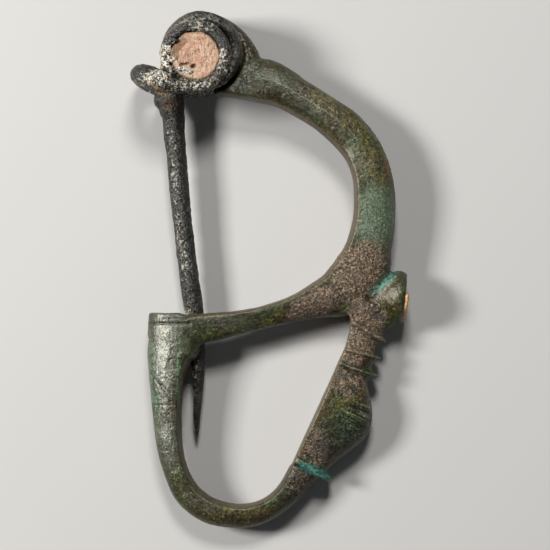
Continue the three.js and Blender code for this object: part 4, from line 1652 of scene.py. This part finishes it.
@dataclass
class KnobInlay:
    """The coral in the knob's mouth, broken away above."""

    radius: float = 3.02
    depth: float = 0.25
    proud: float = 0.36
    grain: float = 0.075
    # Salmon, cream and stained.
    colours: tuple[Point, ...] = ((0.58, 0.27, 0.09), (0.70, 0.42, 0.20), (0.20, 0.10, 0.04))
    broken: tuple[Point, ...] = ((16.15, -2.35), (20, -2.6), (20, 2), (16, 2))

    def build(self, casting: Casting, pose: LaidPose) -> Body:
        """Models and dresses the inlay.

        Args:
            casting: The casting whose knob holds it.
            pose: Where the brooch lies.

        Returns:
            The inlay.
        """
        place, out = casting.mouth()
        back, front = place - out * self.depth, place + out * self.proud
        disc = Bench.rod("knob_coral_inlay", back, front, self.radius, 72)
        Bench.apply(disc, "BEVEL", width=0.3, segments=4, limit_method="ANGLE", angle_limit=0.8)
        Bench.merge(disc, Bench.prism("broken_away", list(self.broken), -6, 6), Join.CUT)
        Bench.remesh(disc, self.grain)
        Bench.smooth(disc, 2, 0.5)
        Bench.roughen(disc, Relief.lumps("knob_coral_swell", 1.4), 0.2)
        Bench.roughen(disc, Relief.lumps("knob_coral_fine", 0.4, 3), 0.09)
        points = Bench.points(disc)
        # The stub left in the socket where the coral broke away: stained, and darkened as painted
        # shade.
        upper = smoothstep(points[:, 1], -2.5, -1.8)
        Bench.marks(disc, "finish_and_light_a", points, upper, upper * 0.5, np.zeros(len(points)))
        Bench.dress(disc, pose, CoralFinish(*self.colours, disc.name).material(pose))
        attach(disc, "root")
        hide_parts("knob_coral")
        return disc


# ---------------------------------------------------------------- studio


@dataclass
class Studio:
    """The pale floor, the soft lights and the camera."""

    floor_half: float = 1.5
    floor_colour: Point = (0.40, 0.397, 0.39)
    # Name, place in metres, side, power and colour.
    lamps: tuple[tuple, ...] = (
        ("top", (0.03, 0.24, 0.36), 0.10, 1.45, (1.0, 0.98, 0.95)),
        ("left", (-0.31, 0.05, 0.28), 0.10, 2.5, (1.0, 0.98, 0.95)),
        ("fill", (0.25, -0.20, 0.30), 0.25, 0.12, (0.95, 0.97, 1.0)),
    )
    sky_colour: Point = (0.9, 0.95, 1.0, 1)
    sky_strength: float = 0.035

    def floor(self) -> None:
        """Lays the floor under the brooch."""
        Bench.clear()
        bpy.ops.mesh.primitive_plane_add(size=self.floor_half * 2, location=(0, 0, -0.00002))
        floor = bpy.context.object
        floor.name = "floor"
        shop = Shop("pale_floor")
        coordinates = shop.node("ShaderNodeTexCoord", {}, {}).outputs["Object"]
        cloud = shop.noise(coordinates, 0.05, 3)
        colour = shop.mix(cloud, self.floor_colour, tuple(c * 1.03 for c in self.floor_colour))
        floor.data.materials.append(shop.finish(colour, 0.7, 0.0, cloud, 0.0, 0.3))

    @staticmethod
    def lamp(name: str, place: Point, size: float, watts: float, colour: Point) -> None:
        """Hangs one soft lamp that faces the brooch.

        Args:
            name: The lamp's name.
            place: Where it hangs, in metres.
            size: The side of its square.
            watts: Its power.
            colour: Its colour.
        """
        data = bpy.data.lights.new(name, "AREA")
        data.size, data.energy, data.color = size, watts, colour
        lamp = bpy.data.objects.new(name, data)
        lamp.location = place
        lamp.rotation_mode = "QUATERNION"
        lamp.rotation_quaternion = (-Vector(place)).to_track_quat("-Z", "Y")
        bpy.context.collection.objects.link(lamp)

    def lights(self) -> None:
        """Lights the brooch from the upper left, with a weak fill and a soft sky."""
        for row in self.lamps:
            self.lamp(*row)
        world = bpy.data.worlds.new("sky")
        world.use_nodes = True
        ground = world.node_tree.nodes["Background"]
        ground.inputs[0].default_value = self.sky_colour
        ground.inputs[1].default_value = self.sky_strength
        bpy.context.scene.world = world
        bpy.context.scene.view_settings.view_transform = "Standard"

    @staticmethod
    def camera(pose: LaidPose) -> None:
        """Looks straight down on the brooch's plane, with its top at the top."""
        turn = pose.turn()
        data = bpy.data.cameras.new("camera")
        data.sensor_width = 36
        data.lens = 36 / 2 / (VIEW_SPAN / 2 / VIEW_DISTANCE)
        data.clip_start, data.clip_end = 0.01, 10
        camera = bpy.data.objects.new("camera", data)
        camera.rotation_mode = "QUATERNION"
        camera.rotation_quaternion = turn.to_quaternion()
        camera.location = pose.place @ Vector((0, 0, VIEW_DISTANCE))
        bpy.context.collection.objects.link(camera)
        bpy.context.scene.camera = camera


def report(piece: Body) -> None:
    """Logs one finished piece."""
    faces = sum(len(p.vertices) - 2 for p in piece.data.polygons)
    LOG.info("%s: %d triangles", piece.name, faces)


def main() -> None:
    """Sets the studio, builds each piece and reports it."""
    logging.basicConfig(level=logging.INFO, format="%(message)s")
    studio = Studio()
    studio.camera(POSE)
    studio.floor()
    studio.lights()
    casting = Casting()
    report(casting.build(POSE))
    report(SpringAndPin().build(POSE))
    report(SpringInlay("near_coral_inlay", "near_spring_coral", 1, True).build(POSE))
    report(SpringInlay("far_coral_inlay", "far_spring_coral", -1, False).build(POSE))
    report(KnobInlay().build(casting, POSE))


if __name__ == "__main__":
    main()
